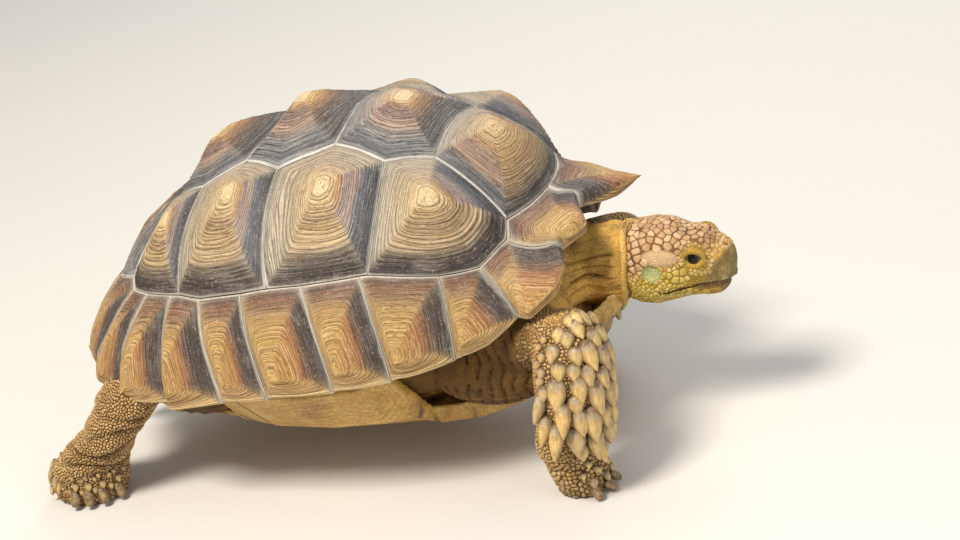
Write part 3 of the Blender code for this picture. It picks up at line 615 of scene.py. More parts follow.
shift = Vector((shell["centre"], 0, 0))  # stations below are measured from the middle of the shell
legForms = {
    # rings from the joint's top down to the sole: forward, outward, height, radii; then the upper part
    "foreleg_right": {
        "side": -1,
        "lower": (
            (0.260, 0.114, 0.172, 0.014, 0.014), (0.260, 0.118, 0.164, 0.024, 0.024),
            (0.262, 0.125, 0.148, 0.031, 0.031), (0.262, 0.130, 0.125, 0.033, 0.033),
            (0.260, 0.132, 0.100, 0.033, 0.033), (0.256, 0.131, 0.075, 0.032, 0.032),
            (0.250, 0.129, 0.052, 0.032, 0.030), (0.249, 0.125, 0.034, 0.027, 0.027),
            (0.252, 0.122, 0.016, 0.026, 0.026), (0.252, 0.120, 0.000, 0.022, 0.022),
        ),
        "upper": ((0.140, 0.058, 0.128, 0.034, 0.034), (0.260, 0.116, 0.148, 0.028, 0.025)),
        "claws": (-47, -12, 22, 55, 88),
    },
    "foreleg_left": {
        "side": 1,
        "lower": (
            (0.246, 0.108, 0.165, 0.014, 0.014), (0.244, 0.112, 0.157, 0.023, 0.023),
            (0.238, 0.118, 0.141, 0.031, 0.031), (0.227, 0.124, 0.118, 0.034, 0.033),
            (0.211, 0.129, 0.093, 0.034, 0.032), (0.193, 0.132, 0.068, 0.032, 0.031),
            (0.176, 0.133, 0.046, 0.030, 0.029), (0.162, 0.132, 0.028, 0.027, 0.027),
            (0.156, 0.132, 0.012, 0.026, 0.026), (0.154, 0.132, 0.000, 0.022, 0.022),
        ),
        "upper": ((0.130, 0.056, 0.126, 0.034, 0.034), (0.240, 0.111, 0.142, 0.028, 0.024)),
        "claws": (-47, -12, 22, 55, 88),
    },
    "hindleg_right": {
        "side": -1,
        "lower": (
            (-0.152, 0.112, 0.142, 0.018, 0.016), (-0.159, 0.120, 0.132, 0.033, 0.027),
            (-0.173, 0.130, 0.112, 0.037, 0.032), (-0.190, 0.134, 0.090, 0.032, 0.031),
            (-0.208, 0.135, 0.070, 0.030, 0.031), (-0.227, 0.133, 0.052, 0.035, 0.033),
            (-0.241, 0.130, 0.034, 0.039, 0.034), (-0.247, 0.128, 0.014, 0.040, 0.033),
            (-0.247, 0.128, 0.000, 0.035, 0.029),
        ),
        "upper": ((-0.085, 0.055, 0.118, 0.034, 0.034), (-0.156, 0.118, 0.116, 0.029, 0.025)),
        "claws": (-90, -68, -46, -22),
    },
    "hindleg_left": {
        "side": 1,
        "lower": (
            (-0.110, 0.112, 0.138, 0.014, 0.014), (-0.112, 0.120, 0.128, 0.026, 0.025),
            (-0.117, 0.130, 0.110, 0.031, 0.031), (-0.123, 0.136, 0.090, 0.029, 0.031),
            (-0.129, 0.139, 0.070, 0.030, 0.031), (-0.134, 0.139, 0.052, 0.033, 0.033),
            (-0.138, 0.138, 0.034, 0.037, 0.034), (-0.139, 0.138, 0.014, 0.039, 0.033),
            (-0.139, 0.138, 0.000, 0.034, 0.029),
        ),
        "upper": ((-0.070, 0.055, 0.116, 0.034, 0.034), (-0.112, 0.116, 0.114, 0.028, 0.024)),
        "claws": (-90, -68, -46, -22),
    },
}
# soft masses that close the flesh between limbs, neck and shell: place, radii
softForms = (
    ((0.205, 0.000, 0.165), (0.060, 0.070, 0.036)),  # base of the neck
    ((0.196, -0.070, 0.150), (0.052, 0.050, 0.036)), ((0.190, 0.070, 0.148), (0.052, 0.050, 0.036)),  # shoulders
    ((0.172, -0.086, 0.114), (0.068, 0.032, 0.043)), ((0.150, 0.086, 0.112), (0.060, 0.032, 0.041)),  # armpits
    ((0.212, 0.000, 0.116), (0.036, 0.054, 0.032)),  # under the neck
    ((-0.112, -0.100, 0.110), (0.055, 0.040, 0.036)), ((-0.085, 0.100, 0.108), (0.050, 0.040, 0.034)),  # thighs
    ((-0.150, 0.000, 0.112), (0.060, 0.090, 0.036)),  # behind, round the tail
)
skinForm = {"voxel": 0.00245, "smoothing": 8, "coatDepth": 0.0007}


def local(points):
    # forward, left and up, as the stations are given
    return (points - np.array(shift)).T


def ringed(bm, rings, segments):
    # bridges a row of rings, each given by a matrix over a unit circle, and caps both ends
    loops = []
    for k, matrix in enumerate(rings):
        made = bmesh.ops.create_circle(bm, cap_ends=k in (0, len(rings) - 1), segments=segments, radius=1.0,
                                       matrix=matrix)
        verts = set(made["verts"])
        loops.append([edge for edge in {e for v in verts for e in v.link_edges} if set(edge.verts) <= verts])
    for here, there in zip(loops, loops[1:]):
        bmesh.ops.bridge_loops(bm, edges=here + there)


def ovalMatrix(centre, axisX, axisY, axisZ, radiusX, radiusY):
    # carries the unit circle to an oval ring round axisZ
    turned = Matrix((axisX, axisY, axisZ)).transposed().to_4x4()
    return Matrix.Translation(centre) @ turned @ Matrix.Diagonal((radiusX, radiusY, 1, 1))


def legMatrices(leg):
    # rings of the leg's column and of the upper part that runs into the shell
    side = leg["side"]
    lower = [ovalMatrix(shift + Vector((x, side * y, z)), Vector((1, 0, 0)), Vector((0, 1, 0)), Vector((0, 0, 1)),
                        fore, wide) for x, y, z, fore, wide in leg["lower"]]
    ends = [Vector((x, side * y, z)) for x, y, z, *_ in leg["upper"]]
    axis = (ends[1] - ends[0]).normalized()
    aside = Vector((0, 0, 1)).cross(axis).normalized()
    upper = [ovalMatrix(shift + end, aside, axis.cross(aside), axis, row[3], row[4])
             for end, row in zip(ends, leg["upper"])]
    return lower, upper


def solidCopy(bm, name):
    # merged copy of a node's mesh, dropped into bm; the node itself is left alone
    part = bmesh.new()
    part.from_mesh(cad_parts[name].data)
    bmesh.ops.remove_doubles(part, verts=part.verts[:], dist=1e-5)
    mesh = bpy.data.meshes.new("part")
    part.to_mesh(mesh)
    part.free()
    bm.from_mesh(mesh)
    bpy.data.meshes.remove(mesh)


def settled(obj):
    # the object's mesh with its modifiers applied
    bpy.context.view_layer.update()
    mesh = bpy.data.meshes.new_from_object(obj.evaluated_get(bpy.context.evaluated_depsgraph_get()))
    obj.modifiers.clear()
    old, obj.data = obj.data, mesh
    bpy.data.meshes.remove(old)
    return mesh


def perVertex(mesh, what):
    flat = np.empty(len(mesh.vertices) * 3)
    mesh.vertices.foreach_get(what, flat)
    return flat.reshape(-1, 3)


def reshape(mesh, points):
    mesh.vertices.foreach_set("co", points.ravel())
    mesh.update()


def lineDistance(points, line):
    # distance of 2-D points from a broken line, and on which side (positive above) they lie
    best, signed = np.full(len(points), 1e9), np.zeros(len(points))
    for start, end in zip(np.array(line), np.array(line)[1:]):
        run = end - start
        share = np.clip(((points - start) @ run) / (run @ run), 0, 1)
        gap = points - (start + share[:, None] * run)
        distance = np.hypot(*gap.T)
        closer = distance < best
        best = np.where(closer, distance, best)
        signed = np.where(closer, gap[:, 1], signed)
    return best, signed


headForm = {
    # pushes along the surface: forward, outward, height, reach, lift in mm
    "dabs": (
        (0.3690, 0.0085, 0.2010, 0.0055, 2.6),   # paired bump over the snout
        (0.3600, 0.0000, 0.2040, 0.0050, -1.0),
        (0.3510, 0.0060, 0.2060, 0.0075, -2.6),  # dip behind it
        (0.3510, 0.0180, 0.2020, 0.0060, -1.2),
        (0.3260, 0.0000, 0.2110, 0.0160, 0.6),   # crown
        (0.3770, 0.0000, 0.1960, 0.0060, -1.6),  # slope to the nose
        (0.3600, 0.0260, 0.1935, 0.0062, 2.0),   # brow
        (0.3480, 0.0290, 0.1915, 0.0060, 1.2),
        (0.3720, 0.0190, 0.1860, 0.0055, -1.4),  # before the eye
        (0.3480, 0.0310, 0.1730, 0.0060, -0.8),
        (0.3585, 0.0300, 0.1815, 0.0060, -2.2),  # eye socket
        (0.3590, 0.0300, 0.1700, 0.0050, 1.2),   # pad under the eye
        (0.3195, 0.0370, 0.1710, 0.0078, -2.2),  # ear drum
        (0.3400, 0.0340, 0.1700, 0.0060, 0.9),   # cheek before it
        (0.3180, 0.0340, 0.1450, 0.0120, 1.6),   # corner of the jaw
        (0.3400, 0.0280, 0.1420, 0.0080, -1.6),  # hollow before it
        (0.3880, 0.0000, 0.1790, 0.0050, 0.6),
        (0.3790, 0.0160, 0.1620, 0.0070, 1.4),   # beak
        (0.3850, 0.0000, 0.1530, 0.0040, 1.6),   # its hook
        (0.3690, 0.0110, 0.1400, 0.0060, 0.8),   # chin
    ),
    "mouth": ((0.3935, 0.1500), (0.3800, 0.1520), (0.3600, 0.1535), (0.3450, 0.1515), (0.3330, 0.1490),
              (0.3240, 0.1480)),
    # how far the outline of the crown and of the jaw is drawn in, in mm, at stations along the head
    "crown": ((0.290, 1.0), (0.300, 2.6), (0.325, 2.6), (0.338, 3.8), (0.348, 4.8), (0.356, 3.8), (0.365, 3.4),
              (0.371, 3.2), (0.376, 5.6), (0.383, 6.2), (0.389, 2.6), (0.395, 0.6)),
    "jaw": ((0.300, 0.0), (0.315, 0.8), (0.330, 3.2), (0.346, 5.0), (0.356, 3.6), (0.363, 1.4), (0.373, -0.4),
            (0.380, -1.0), (0.390, 0.0)),
    "eye": (0.3585, 0.1815), "ear": (0.3197, 0.1705), "earSize": (0.0096, 0.0082),
    "temple": (0.3285, 0.1842), "templeSize": (0.0178, 0.0080), "templeTilt": 0.12,
    "nostril": (0.0052, 0.1848),  # outward, height
    "cowl": 0.2935,  # where the neck's skin ends
    "folds": ((11.5, 3.2, 0.3), (25.0, 1.8, 1.7), (47.0, 0.9, 0.9), (68.0, 0.5, 2.2)),  # neck: count, mm, offset
    # height of each crease over the hind foot, and its depth in mm
    "ankle": ((0.062, 3.4), (0.045, 2.8), (0.079, 2.2), (0.032, 1.2), (0.097, 2.0)),
}


def eyeReach(x, z):
    return np.hypot(x - headForm["eye"][0], z - headForm["eye"][1])


def earReach(x, z):
    # 1 on the rim of the ear drum
    away = x - headForm["ear"][0], z - headForm["ear"][1]
    return np.hypot(away[0] / headForm["earSize"][0], away[1] / headForm["earSize"][1])


def plateReach(x, z):
    # 1 on the rim of the smooth plate over the ear
    away = x - headForm["temple"][0], z - headForm["temple"][1]
    return np.hypot(away[0] / headForm["templeSize"][0],
                    (away[1] + headForm["templeTilt"] * away[0]) / headForm["templeSize"][1])


def nostrilDip(side, z, wide, tall):
    return np.exp(-(((side - headForm["nostril"][0]) / wide) ** 2) - ((z - headForm["nostril"][1]) / tall) ** 2)


def ankleCrease(x, y, level):
    # each crease over the foot runs a little up and down
    return level + 0.005 * np.sin(x * 60 + y * 45 + level * 90)


def cowlLine(y, z):
    # where the skin of the neck ends in a fold behind the head
    return headForm["cowl"] + 0.002 * np.sin(3 * np.arctan2(z - 0.170, y)) - 0.012 * smoothStep(0.150 - z, 0, 0.02)


def sculpt(points, normals):
    # folds, sockets and creases, as a lift along the normals, in metres
    x, y, z = local(points)
    side = np.abs(y)
    lift = np.zeros(len(points))
    for dx, dy, dz, reach, push in headForm["dabs"]:
        away = ((x - dx) ** 2 + (side - dy) ** 2 + (z - dz) ** 2) / reach**2
        lift += push * mm * np.exp(-away)
    # mouth line, lips, the rims of ear and temple, nostrils
    onHead = smoothStep(x, 0.290, 0.300)
    distance, above = lineDistance(np.stack([x, z], axis=1), headForm["mouth"])
    sideways = smoothStep(np.abs(normals[:, 1]) + np.maximum(normals[:, 0], 0), 0.25, 0.6) * onHead
    lift -= 0.0022 * bell(distance, 0.0011) * sideways
    lip = bell(above - 0.0032, 0.0024) * (distance < 0.008)
    lift += 0.0013 * lip * sideways * smoothStep(x, 0.345, 0.365) * (0.75 + 0.25 * np.sin(x * 1500 + y * 900))
    hollow = bell(above + 0.0036, 0.0030) * (distance < 0.010)
    lift -= 0.0024 * hollow * sideways * smoothStep(x, 0.352, 0.372)
    lift += 0.0015 * bell(earReach(x, z) - 1.0, 0.15) * (side > 0.022) * (x > 0.295)
    plate = plateReach(x, z)
    temple = 0.0017 * (1 - smoothStep(plate, 0.55, 1.0)) - 0.0006 * bell(plate - 1.12, 0.10)
    lift += temple * (side > 0.016) * (x > 0.295)
    lift -= 0.0024 * nostrilDip(side, z, 0.0017, 0.0013) * (x > 0.380)
    # neck: a cowl fold behind the head, long folds along the sides, finer ones under the throat
    turn = np.arctan2(z - 0.170, y)
    cowl = cowlLine(y, z)
    lift += 0.0026 * bell(x - cowl + 0.002, 0.0020) * (side < 0.06)
    lift -= 0.0024 * bell(x - cowl - 0.0028, 0.0017) * (side < 0.06)
    onNeck = smoothStep(x, 0.175, 0.200) * (1 - smoothStep(x, 0.283, 0.290)) * (side < 0.056)
    drift = 0.9 * np.sin(x * 55 + 1.5 * np.sin(2 * turn)) + 0.35 * np.sin(x * 140 + turn * 5)
    low = 0.35 + 0.65 * smoothStep(0.200 - z, 0, 0.02)
    for count, depth, offset in headForm["folds"]:
        fold = np.abs(np.sin(0.5 * (count * turn + drift * (1 + 0.04 * count) + offset)))
        lift += depth * mm * onNeck * low * (0.55 - bell(fold, 0.30) * 1.1)
    lift += 0.0005 * onNeck * np.sin((x - 0.2) * 330 + 3 * np.sin(2 * turn))
    # armpits and thighs: upright creases
    pit = bell(x - 0.165, 0.055) * smoothStep(side, 0.075, 0.095) * (z < 0.16)
    upright = np.abs(np.sin(0.5 * (x * 560 + 1.6 * np.sin(z * 90) + 0.8 * np.sin(z * 210 + x * 90))))
    lift += 0.0042 * pit * (0.35 - 1.1 * bell(upright, 0.26)) * (1 - smoothStep(x, 0.222, 0.235))
    groin = bell(x + 0.115, 0.05) * smoothStep(side, 0.06, 0.09)
    lift += 0.0008 * groin * np.sin((x - z) * 420)
    # hind ankles: level creases above the foot
    hind = (x < -0.08) & (z < 0.13) & (side > 0.08)
    for level, depth in headForm["ankle"]:
        bent = ankleCrease(x, y, level)
        lift -= depth * mm * hind * bell(z - bent, 0.0030)
        lift += 0.5 * depth * mm * hind * bell(z - bent - 0.007, 0.0050)
    # forelegs: a crease behind the elbow
    fore = (x > 0.13) & (side > 0.085) & (z < 0.17)
    lift -= 0.0014 * fore * bell(z - 0.034, 0.003)
    return lift


def skinMesh():
    # one skin from neck to tail: the solids, the legs and the soft masses remeshed together, then sculpted
    bm = bmesh.new()
    for name in ("trunk", "neck", "head", "tail"):
        solidCopy(bm, name)
    for leg in legForms.values():
        lower, upper = legMatrices(leg)
        ringed(bm, lower, 28)
        ringed(bm, upper, 28)
    for place, radii in softForms:
        bmesh.ops.create_uvsphere(bm, u_segments=24, v_segments=16, radius=1.0,
                                  matrix=Matrix.Translation(shift + Vector(place)) @ Matrix.Diagonal((*radii, 1)))
    mesh = bpy.data.meshes.new("skin")
    bmesh.ops.recalc_face_normals(bm, faces=bm.faces[:])
    bm.to_mesh(mesh)
    bm.free()
    skin = bpy.data.objects.new("skin", mesh)
    scene.collection.objects.link(skin)
    remesh = skin.modifiers.new("remesh", "REMESH")
    remesh.mode, remesh.voxel_size = "VOXEL", skinForm["voxel"]
    settled(skin)
    softened = skin.modifiers.new("soften", "SMOOTH")
    softened.factor, softened.iterations = 0.5, skinForm["smoothing"]
    settled(skin)
    # what the shell hides is thinned out
    points = perVertex(skin.data, "co")
    x, y, z = local(points)
    hidden = skin.vertex_groups.new(name="hidden")
    deep = np.hypot(x / 0.13, y / 0.10) < 1
    for length, width, above in ((0.150, 1, 0.100), (0.19, 1, 0.205), (0.120, 0.150, -1), (0.185, 0.080, -1)):
        deep |= (np.abs(x) < length) & (np.abs(y) < width) & (z > above)
    hidden.add(np.flatnonzero(deep).tolist(), 1.0, "REPLACE")
    thin = skin.modifiers.new("thin", "DECIMATE")
    thin.ratio = 1 - 0.94 * deep.mean()
    thin.vertex_group = "hidden"
    settled(skin)
    skin.vertex_groups.clear()
    # the head is carried finer
    bm = bmesh.new()
    bm.from_mesh(skin.data)
    start = 0.300 + shell["centre"]
    edges = [e for e in bm.edges if min(v.co.x for v in e.verts) > start - 0.06 and abs(e.verts[0].co.y) < 0.055]
    bmesh.ops.subdivide_edges(bm, edges=edges, cuts=1, use_grid_fill=True, smooth=0.0)
    print("head and neck refined to", len(bm.faces), "faces")
    head = [v for v in bm.verts if v.co.x > start]
    for _ in range(3):
        bmesh.ops.smooth_vert(bm, verts=head, factor=0.5, use_axis_x=True, use_axis_y=True, use_axis_z=True)
    bmesh.ops.triangulate(bm, faces=[f for f in bm.faces if len(f.verts) > 4])
    outward(bm)
    bm.to_mesh(skin.data)
    bm.free()
    points, normals = perVertex(skin.data, "co"), perVertex(skin.data, "normal")
    x, y, z = local(points)
    for key, way, middle in (("crown", -1, 0.175), ("jaw", 1, 0.158)):
        stations, drops = np.array(headForm[key]).T
        span = smoothStep((middle - z) * way, 0.004, 0.026) * (x > stations[0])
        points[:, 2] += way * mm * np.interp(x, stations, drops, left=0, right=0) * span
    reshape(skin.data, points)
    points, normals = perVertex(skin.data, "co"), perVertex(skin.data, "normal")
    lift = sculpt(points, normals) - skinForm["coatDepth"]
    points = points + normals * lift[:, None]
    points[:, 2] = np.maximum(points[:, 2], floorGap)
    reshape(skin.data, points)
    x, y, z = local(points)
    # painted shadow in the sculpted creases, kept for the skin's material
    creaseShadow = np.clip((-lift - skinForm["coatDepth"] - 0.0002) / 0.0014, 0, 1) * ((earReach(x, z) > 1) | (x < 0.3))
    pin(skin.data, "crease", creaseShadow)
    skin.data.shade_smooth()
    print("skin", len(skin.data.vertices), "vertices", sum(len(p.vertices) - 2 for p in skin.data.polygons),
          "triangles")
    return skin


def crownSlope(x, z):
    # height over the line that parts the crown's scales from those of the cheek
    return z - (0.166 + 0.25 * (x - 0.30))


def markings(points):
    # where the colours of skin and scales change: weights from 0 to 1 for each tone
    x, y, z = local(points)
    side = np.abs(y)
    cowl = cowlLine(y, z)
    head = smoothStep(x - cowl, 0.0010, 0.0035) * (side < 0.045) * (z > 0.120)
    slope = crownSlope(x, z)
    nose = x + 0.9 * (0.168 - z) * (z > 0.150) - 0.25 * (0.150 - z) * (z < 0.150)
    tones = {
        "crownTone": head * smoothStep(slope, -0.004, 0.012),
        "lime": head * (1 - smoothStep(slope, -0.006, 0.008)) * (1 - smoothStep(x, 0.362, 0.375)),
        "beakTone": smoothStep(nose, 0.368, 0.376) * (1 - smoothStep(z, 0.180, 0.185)),
        "earTone": bell(earReach(x, z), 0.90, 6) * (side > 0.022) * (x > 0.3),
        # a painted highlight along the crest of the fold behind the head
        "ridgeHighlight": bell(x - cowl + 0.0018, 0.0017) * (side < 0.050) * (z > 0.120),
    }
    # painted shadow along the slit of the mouth and in the nostril pits
    bite = lineDistance(np.stack([x, z], axis=1), headForm["mouth"])[0]
    tones["mouth"] = bell(bite, 0.0010) * head * (side > 0.004)
    tones["mouth"] += nostrilDip(side, z, 0.0015, 0.0011) * (x > 0.380)
    ring = eyeReach(x, z)
    tones["lid"] = bell(ring, 0.0125, 6) * (side > 0.015)
    tones["crownTone"] *= 1 - bell(ring, 0.0105, 6) * (side > 0.015)
    tones["plateTone"] = (1 - smoothStep(plateReach(x, z), 0.75, 1.05)) * (side > 0.016) * (x > 0.295)
    # painted shadow in the creases carved over the hind feet
    tones["fold"] = np.zeros(len(x))
    for level, depth in headForm["ankle"]:
        bent = ankleCrease(x, y, level)
        tones["fold"] += depth / 4.5 * bell(z - bent, 0.0026) * (x < -0.08) * (side > 0.08)
    # painted shadow under the jaw, at the neck's root near the shell and in the armpits, joined with real soil that
    # darkens the feet
    under = smoothStep(0.150 - z, 0.0, 0.02) * head
    shadowByShell = (1 - smoothStep(x, 0.195, 0.235)) * (x > 0) * (side < 0.12) * (z > 0.09)
    pit = smoothStep(x, 0.05, 0.10) * (1 - smoothStep(x, 0.225, 0.240)) * (z > 0.085) * (side > 0.05)
    soiled = 0.55 * (1 - smoothStep(z, 0.006, 0.036))
    tones["shadeAndSoil"] = np.clip(np.maximum.reduce([0.75 * under, shadowByShell, pit, soiled]), 0, 1)
    hind = smoothStep(-x, 0.07, 0.09) * smoothStep(side, 0.080, 0.092) * (z < 0.16)
    tones["foreTone"] = hind + (x > 0.12) * smoothStep(side, 0.080, 0.092) * (1 - smoothStep(z, 0.165, 0.175)) * (
        x < 0.31) * (1 - pit)
    return tones


def mark(mesh):
    for name, values in markings(perVertex(mesh, "co")).items():
        pin(mesh, name, values)


skinLook = {
    # each tone is laid over those before it: first the skin between the scales, then the scales
    # the tones for sheltered places, ankle folds and the mouth are painted shadow, mixed with real soil on the
    # feet; the ridge's tone is a painted highlight
    "skin": {"plain": "dcae58", "foreTone": "5e4423", "shadeAndSoil": "74561f", "crownTone": "7d5836", "lime": "9d842b",
             "lid": "b3973a", "beakTone": "857340", "plateTone": "d2b285", "earTone": "b6bb80", "ridgeHighlight": "f0c473",
             "fold": "4a3416", "mouth": "43300f"},
    "scales": {"plain": "cda663", "foreTone": "bd985c", "shadeAndSoil": "77592a", "crownTone": "c19a6b",
               "lime": "c6ab42", "lid": "b3973a", "beakTone": "9a8553", "plateTone": "d2b285",
               "earTone": "b6bb80", "fold": "6b4d22", "mouth": "43300f"},
    # pattern sizes in mm: mottling and grain, and the cells of the bare skin with their depth in metres
    "mottle": 18.182, "grain": 1.5385, "cell": 2.2, "cellDepth": 0.0007,
    "scaleMottle": 14.286, "scaleGrain": 1.1111,
}


def toned(tree, tones):
    # one colour from a look's tones, each where its mark is
    colour, where = linear(tones["plain"]), {}
    for key, tint in tones.items():
        if key != "plain":
            where[key] = addNode(tree, "Attribute", output="Fac", attribute_name=key)
            colour = addNode(tree, "Mix", {0: where[key], 6: colour, 7: linear(tint)}, 2, data_type="RGBA")
    return colour, where


def skinMaterial(name, tones):
    # reptile skin: dry, finely creased, matt; scales are drier and paler than the skin between them
    made, tree, shader = newMaterial(name, Roughness=0.72, IOR=1.45)
    place = addNode(tree, "TexCoord", output="Object")
    patchy, fine = (addNode(tree, "TexNoise", {"Vector": place, "Scale": 1000 / size, "Detail": detail,
                                               "Roughness": 0.6})
                    for size, detail in ((skinLook["mottle"], 4.0), (skinLook["grain"], 3.0)))
    crease = addNode(tree, "Attribute", output="Fac", attribute_name="crease")
    colour, where = toned(tree, tones)
    colour = glazed(tree, colour, (
        ("c7b488", "MIX", (where["beakTone"], 0.0, 1.0), (patchy, 0.50, 0.66, 0.0, 0.7)),
        # painted shadow in the creases
        ("55380f", "MIX", (crease, 0.0, 1.0, 0.0, 0.62)),
        ("e2c48c", "OVERLAY", (patchy, 0.35, 0.7, 0.0, 0.35)),
        ("6a4b28", "MULTIPLY", (patchy, 0.5, 0.3, 0.0, 0.45)),
        ("7a5c38", "MULTIPLY", (fine, 0.55, 0.35, 0.0, 0.4)),
        # smooth drum and temple
        (tones["plateTone"], "MIX", (where["plateTone"], 0.0, 1.0, 0.0, 0.6)),
        (tones["earTone"], "MIX", (where["earTone"], 0.0, 1.0, 0.0, 0.6)),
    ))
    cells = addNode(tree, "TexVoronoi", {"Vector": place, "Scale": 1000 / skinLook["cell"]}, "Distance",
                    feature="DISTANCE_TO_EDGE")
    height = addNode(tree, "Math", (fine, 0.5, addNode(tree, "MapRange", (cells, 0.0, 0.25))),
                     operation="MULTIPLY_ADD")
    return finished(made, tree, shader, colour, height, 0.8, skinLook["cellDepth"])


skin = skinMesh()
mark(skin.data)
skin.data.materials.clear()
skin.data.materials.append(skinMaterial("tortoiseSkin", skinLook["skin"]))
keep(skin, ["trunk", "neck", "head", "tail", *legForms])


plastronForm = {
    "voxel": 0.0021, "softening": 6, "lip": 0.0110,
    "seams": (0.214, 0.152, 0.104, -0.046, -0.118),  # between gular, humeral, pectoral, abdominal, femoral, anal
    "sway": 0.010, "depth": 0.0012, "ring": 0.0042,
    "grain": {"cloud": (41.667, 6.0, 0.65), "fine": (3.3333, 4.0, 0.6)},  # sizes in mm, detail, roughness
}


def plastronPiece():
    # the solid's own form with softened edges, sunk seams and faint growth rings
    bm = bmesh.new()
    bm.from_mesh(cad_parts["plastron"].data)
    bmesh.ops.remove_doubles(bm, verts=bm.verts[:], dist=1e-5)
    bm.normal_update()
    for vert in bm.verts:  # the gular lip turns up under the neck
        if vert.normal.z > 0.1:
            vert.co.z += plastronForm["lip"] * float(smoothStep(vert.co.x - shell["centre"], 0.088, 0.120))
    mesh = bpy.data.meshes.new("plastron_horn")
    bm.to_mesh(mesh)
    bm.free()
    piece = bpy.data.objects.new("plastron_horn", mesh)
    scene.collection.objects.link(piece)
    remesh = piece.modifiers.new("remesh", "REMESH")
    remesh.mode, remesh.voxel_size = "VOXEL", plastronForm["voxel"]
    settled(piece)
    softened = piece.modifiers.new("soften", "SMOOTH")
    softened.factor, softened.iterations = 0.5, plastronForm["softening"]
    settled(piece)
    points, normals = perVertex(piece.data, "co"), perVertex(piece.data, "normal")
    x, y, _ = local(points)
    side = np.abs(y)
    below = smoothStep(-normals[:, 2], -0.2, 0.3)
    seam = np.full(len(x), 1.0)
    for k, line in enumerate(plastronForm["seams"]):
        bent = line + plastronForm["sway"] * np.cos(side / 0.06 * 2.2 + k) * (0.4 + side / 0.12)
        seam = np.minimum(seam, np.abs(x - bent))
    seam = np.minimum(seam, np.abs(y - 0.002 * np.sin(x * 40)))
    seam = np.minimum(seam, np.where(np.abs(x - 0.02) < 0.095, np.abs(side - 0.118 - 0.004 * np.sin(x * 60)), 1.0))
    rings = np.sin(seam / plastronForm["ring"] * 2 * math.pi + 0.7 * np.sin(x * 90) + 0.5 * np.sin(y * 120))
    lift = -plastronForm["depth"] * bell(seam, 0.0016) + 0.00025 * rings * np.exp(-seam / 0.03)
    points = points + normals * (lift * below)[:, None]
    reshape(piece.data, points)
    # upper marks the up-facing front of the plastron, which the material paints paler as painted light
    for name, values in (("seam", bell(seam, 0.0022) * below), ("ring", (0.5 + 0.5 * rings) * below),
                         ("upper", smoothStep(normals[:, 2], 0.0, 0.5) * smoothStep(x, 0.15, 0.20))):
        pin(piece.data, name, values)
    piece.data.materials.clear()
    piece.data.materials.append(plastronMaterial())
    piece.data.shade_smooth()
    print("plastron", len(piece.data.vertices), "vertices")
    return keep(piece, ["plastron"])


def plastronMaterial():
    # keratin worn smooth by the ground: straw yellow, brown along the seams and growth lines
    made, tree, shader = newMaterial("plastronKeratin", Roughness=0.45, IOR=1.54)
    place = addNode(tree, "TexCoord", output="Object")
    cloud, fine = (addNode(tree, "TexNoise", {"Vector": place, "Scale": 1000 / size, "Detail": detail,
                                              "Roughness": rough})
                   for size, detail, rough in plastronForm["grain"].values())
    ring, upper, seam = (addNode(tree, "Attribute", output="Fac", attribute_name=key)
                         for key in ("ring", "upper", "seam"))
    colour = addNode(tree, "ValToRGB", (cloud,),
                     stops=((0.30, "8f6628"), (0.43, "bd9140"), (0.58, "d4ad5a"), (0.74, "e3c481")))
    colour = glazed(tree, colour, (
        ("8a6228", "MIX", (ring, 0.0, 1.0, 0.0, 0.35)),
        # painted light: paler where the front faces up
        ("e2cb92", "MIX", (upper, 0.0, 1.0, 0.0, 0.7)),
        ("3e2810", "MIX", (seam, 0.0, 1.0, 0.0, 0.85)),
        ("7a5a30", "MULTIPLY", (fine, 0.58, 0.36, 0.0, 0.4)),
    ))
    height = addNode(tree, "Math", (ring, 0.6, fine), operation="MULTIPLY_ADD")
    return finished(made, tree, shader, colour, height, 0.4, 0.0006)


plastronPiece()

eyeForm = {
    "centre": (0.3575, 0.0212, 0.1812), "radius": 0.0083, "bulge": 0.0006, "cornea": 0.0045,
    "reach": 0.009,  # from the middle of the pupil to the end of the colours
    "colours": ((0.0, "050404"), (0.42, "070504"), (0.50, "2d2419"), (0.62, "4a4433"), (0.72, "857f64"),
                (0.84, "5e5436"), (1.0, "3a2e18")),
}


def eyeMaterial(side):
    # wet eye: black pupil in a dark brown iris that pales to a grey rim, under a clear cornea
    made, tree, shader = newMaterial(f"wetEye{'Left' if side > 0 else 'Right'}", Roughness=0.08, IOR=1.38)
    place = addNode(tree, "TexCoord", output="Object")
    x, y, z = eyeForm["centre"]
    middle = (x + shell["centre"] + 0.0006, side * (y + eyeForm["radius"]), z)
    away = addNode(tree, "VectorMath", (place, middle), "Value", operation="DISTANCE")
    streaks = addNode(tree, "TexNoise", {"Vector": place, "Scale": 900.0, "Detail": 3.0})  # 1.1 mm
    read = addNode(tree, "Math", (away, eyeForm["reach"]), operation="DIVIDE")
    read = addNode(tree, "Math", (read, addNode(tree, "MapRange", (streaks, 0.3, 0.7, -0.03, 0.03))),
                   operation="ADD")
    tree.links.new(addNode(tree, "ValToRGB", (read,), stops=eyeForm["colours"]), shader.inputs["Base Color"])
    return made


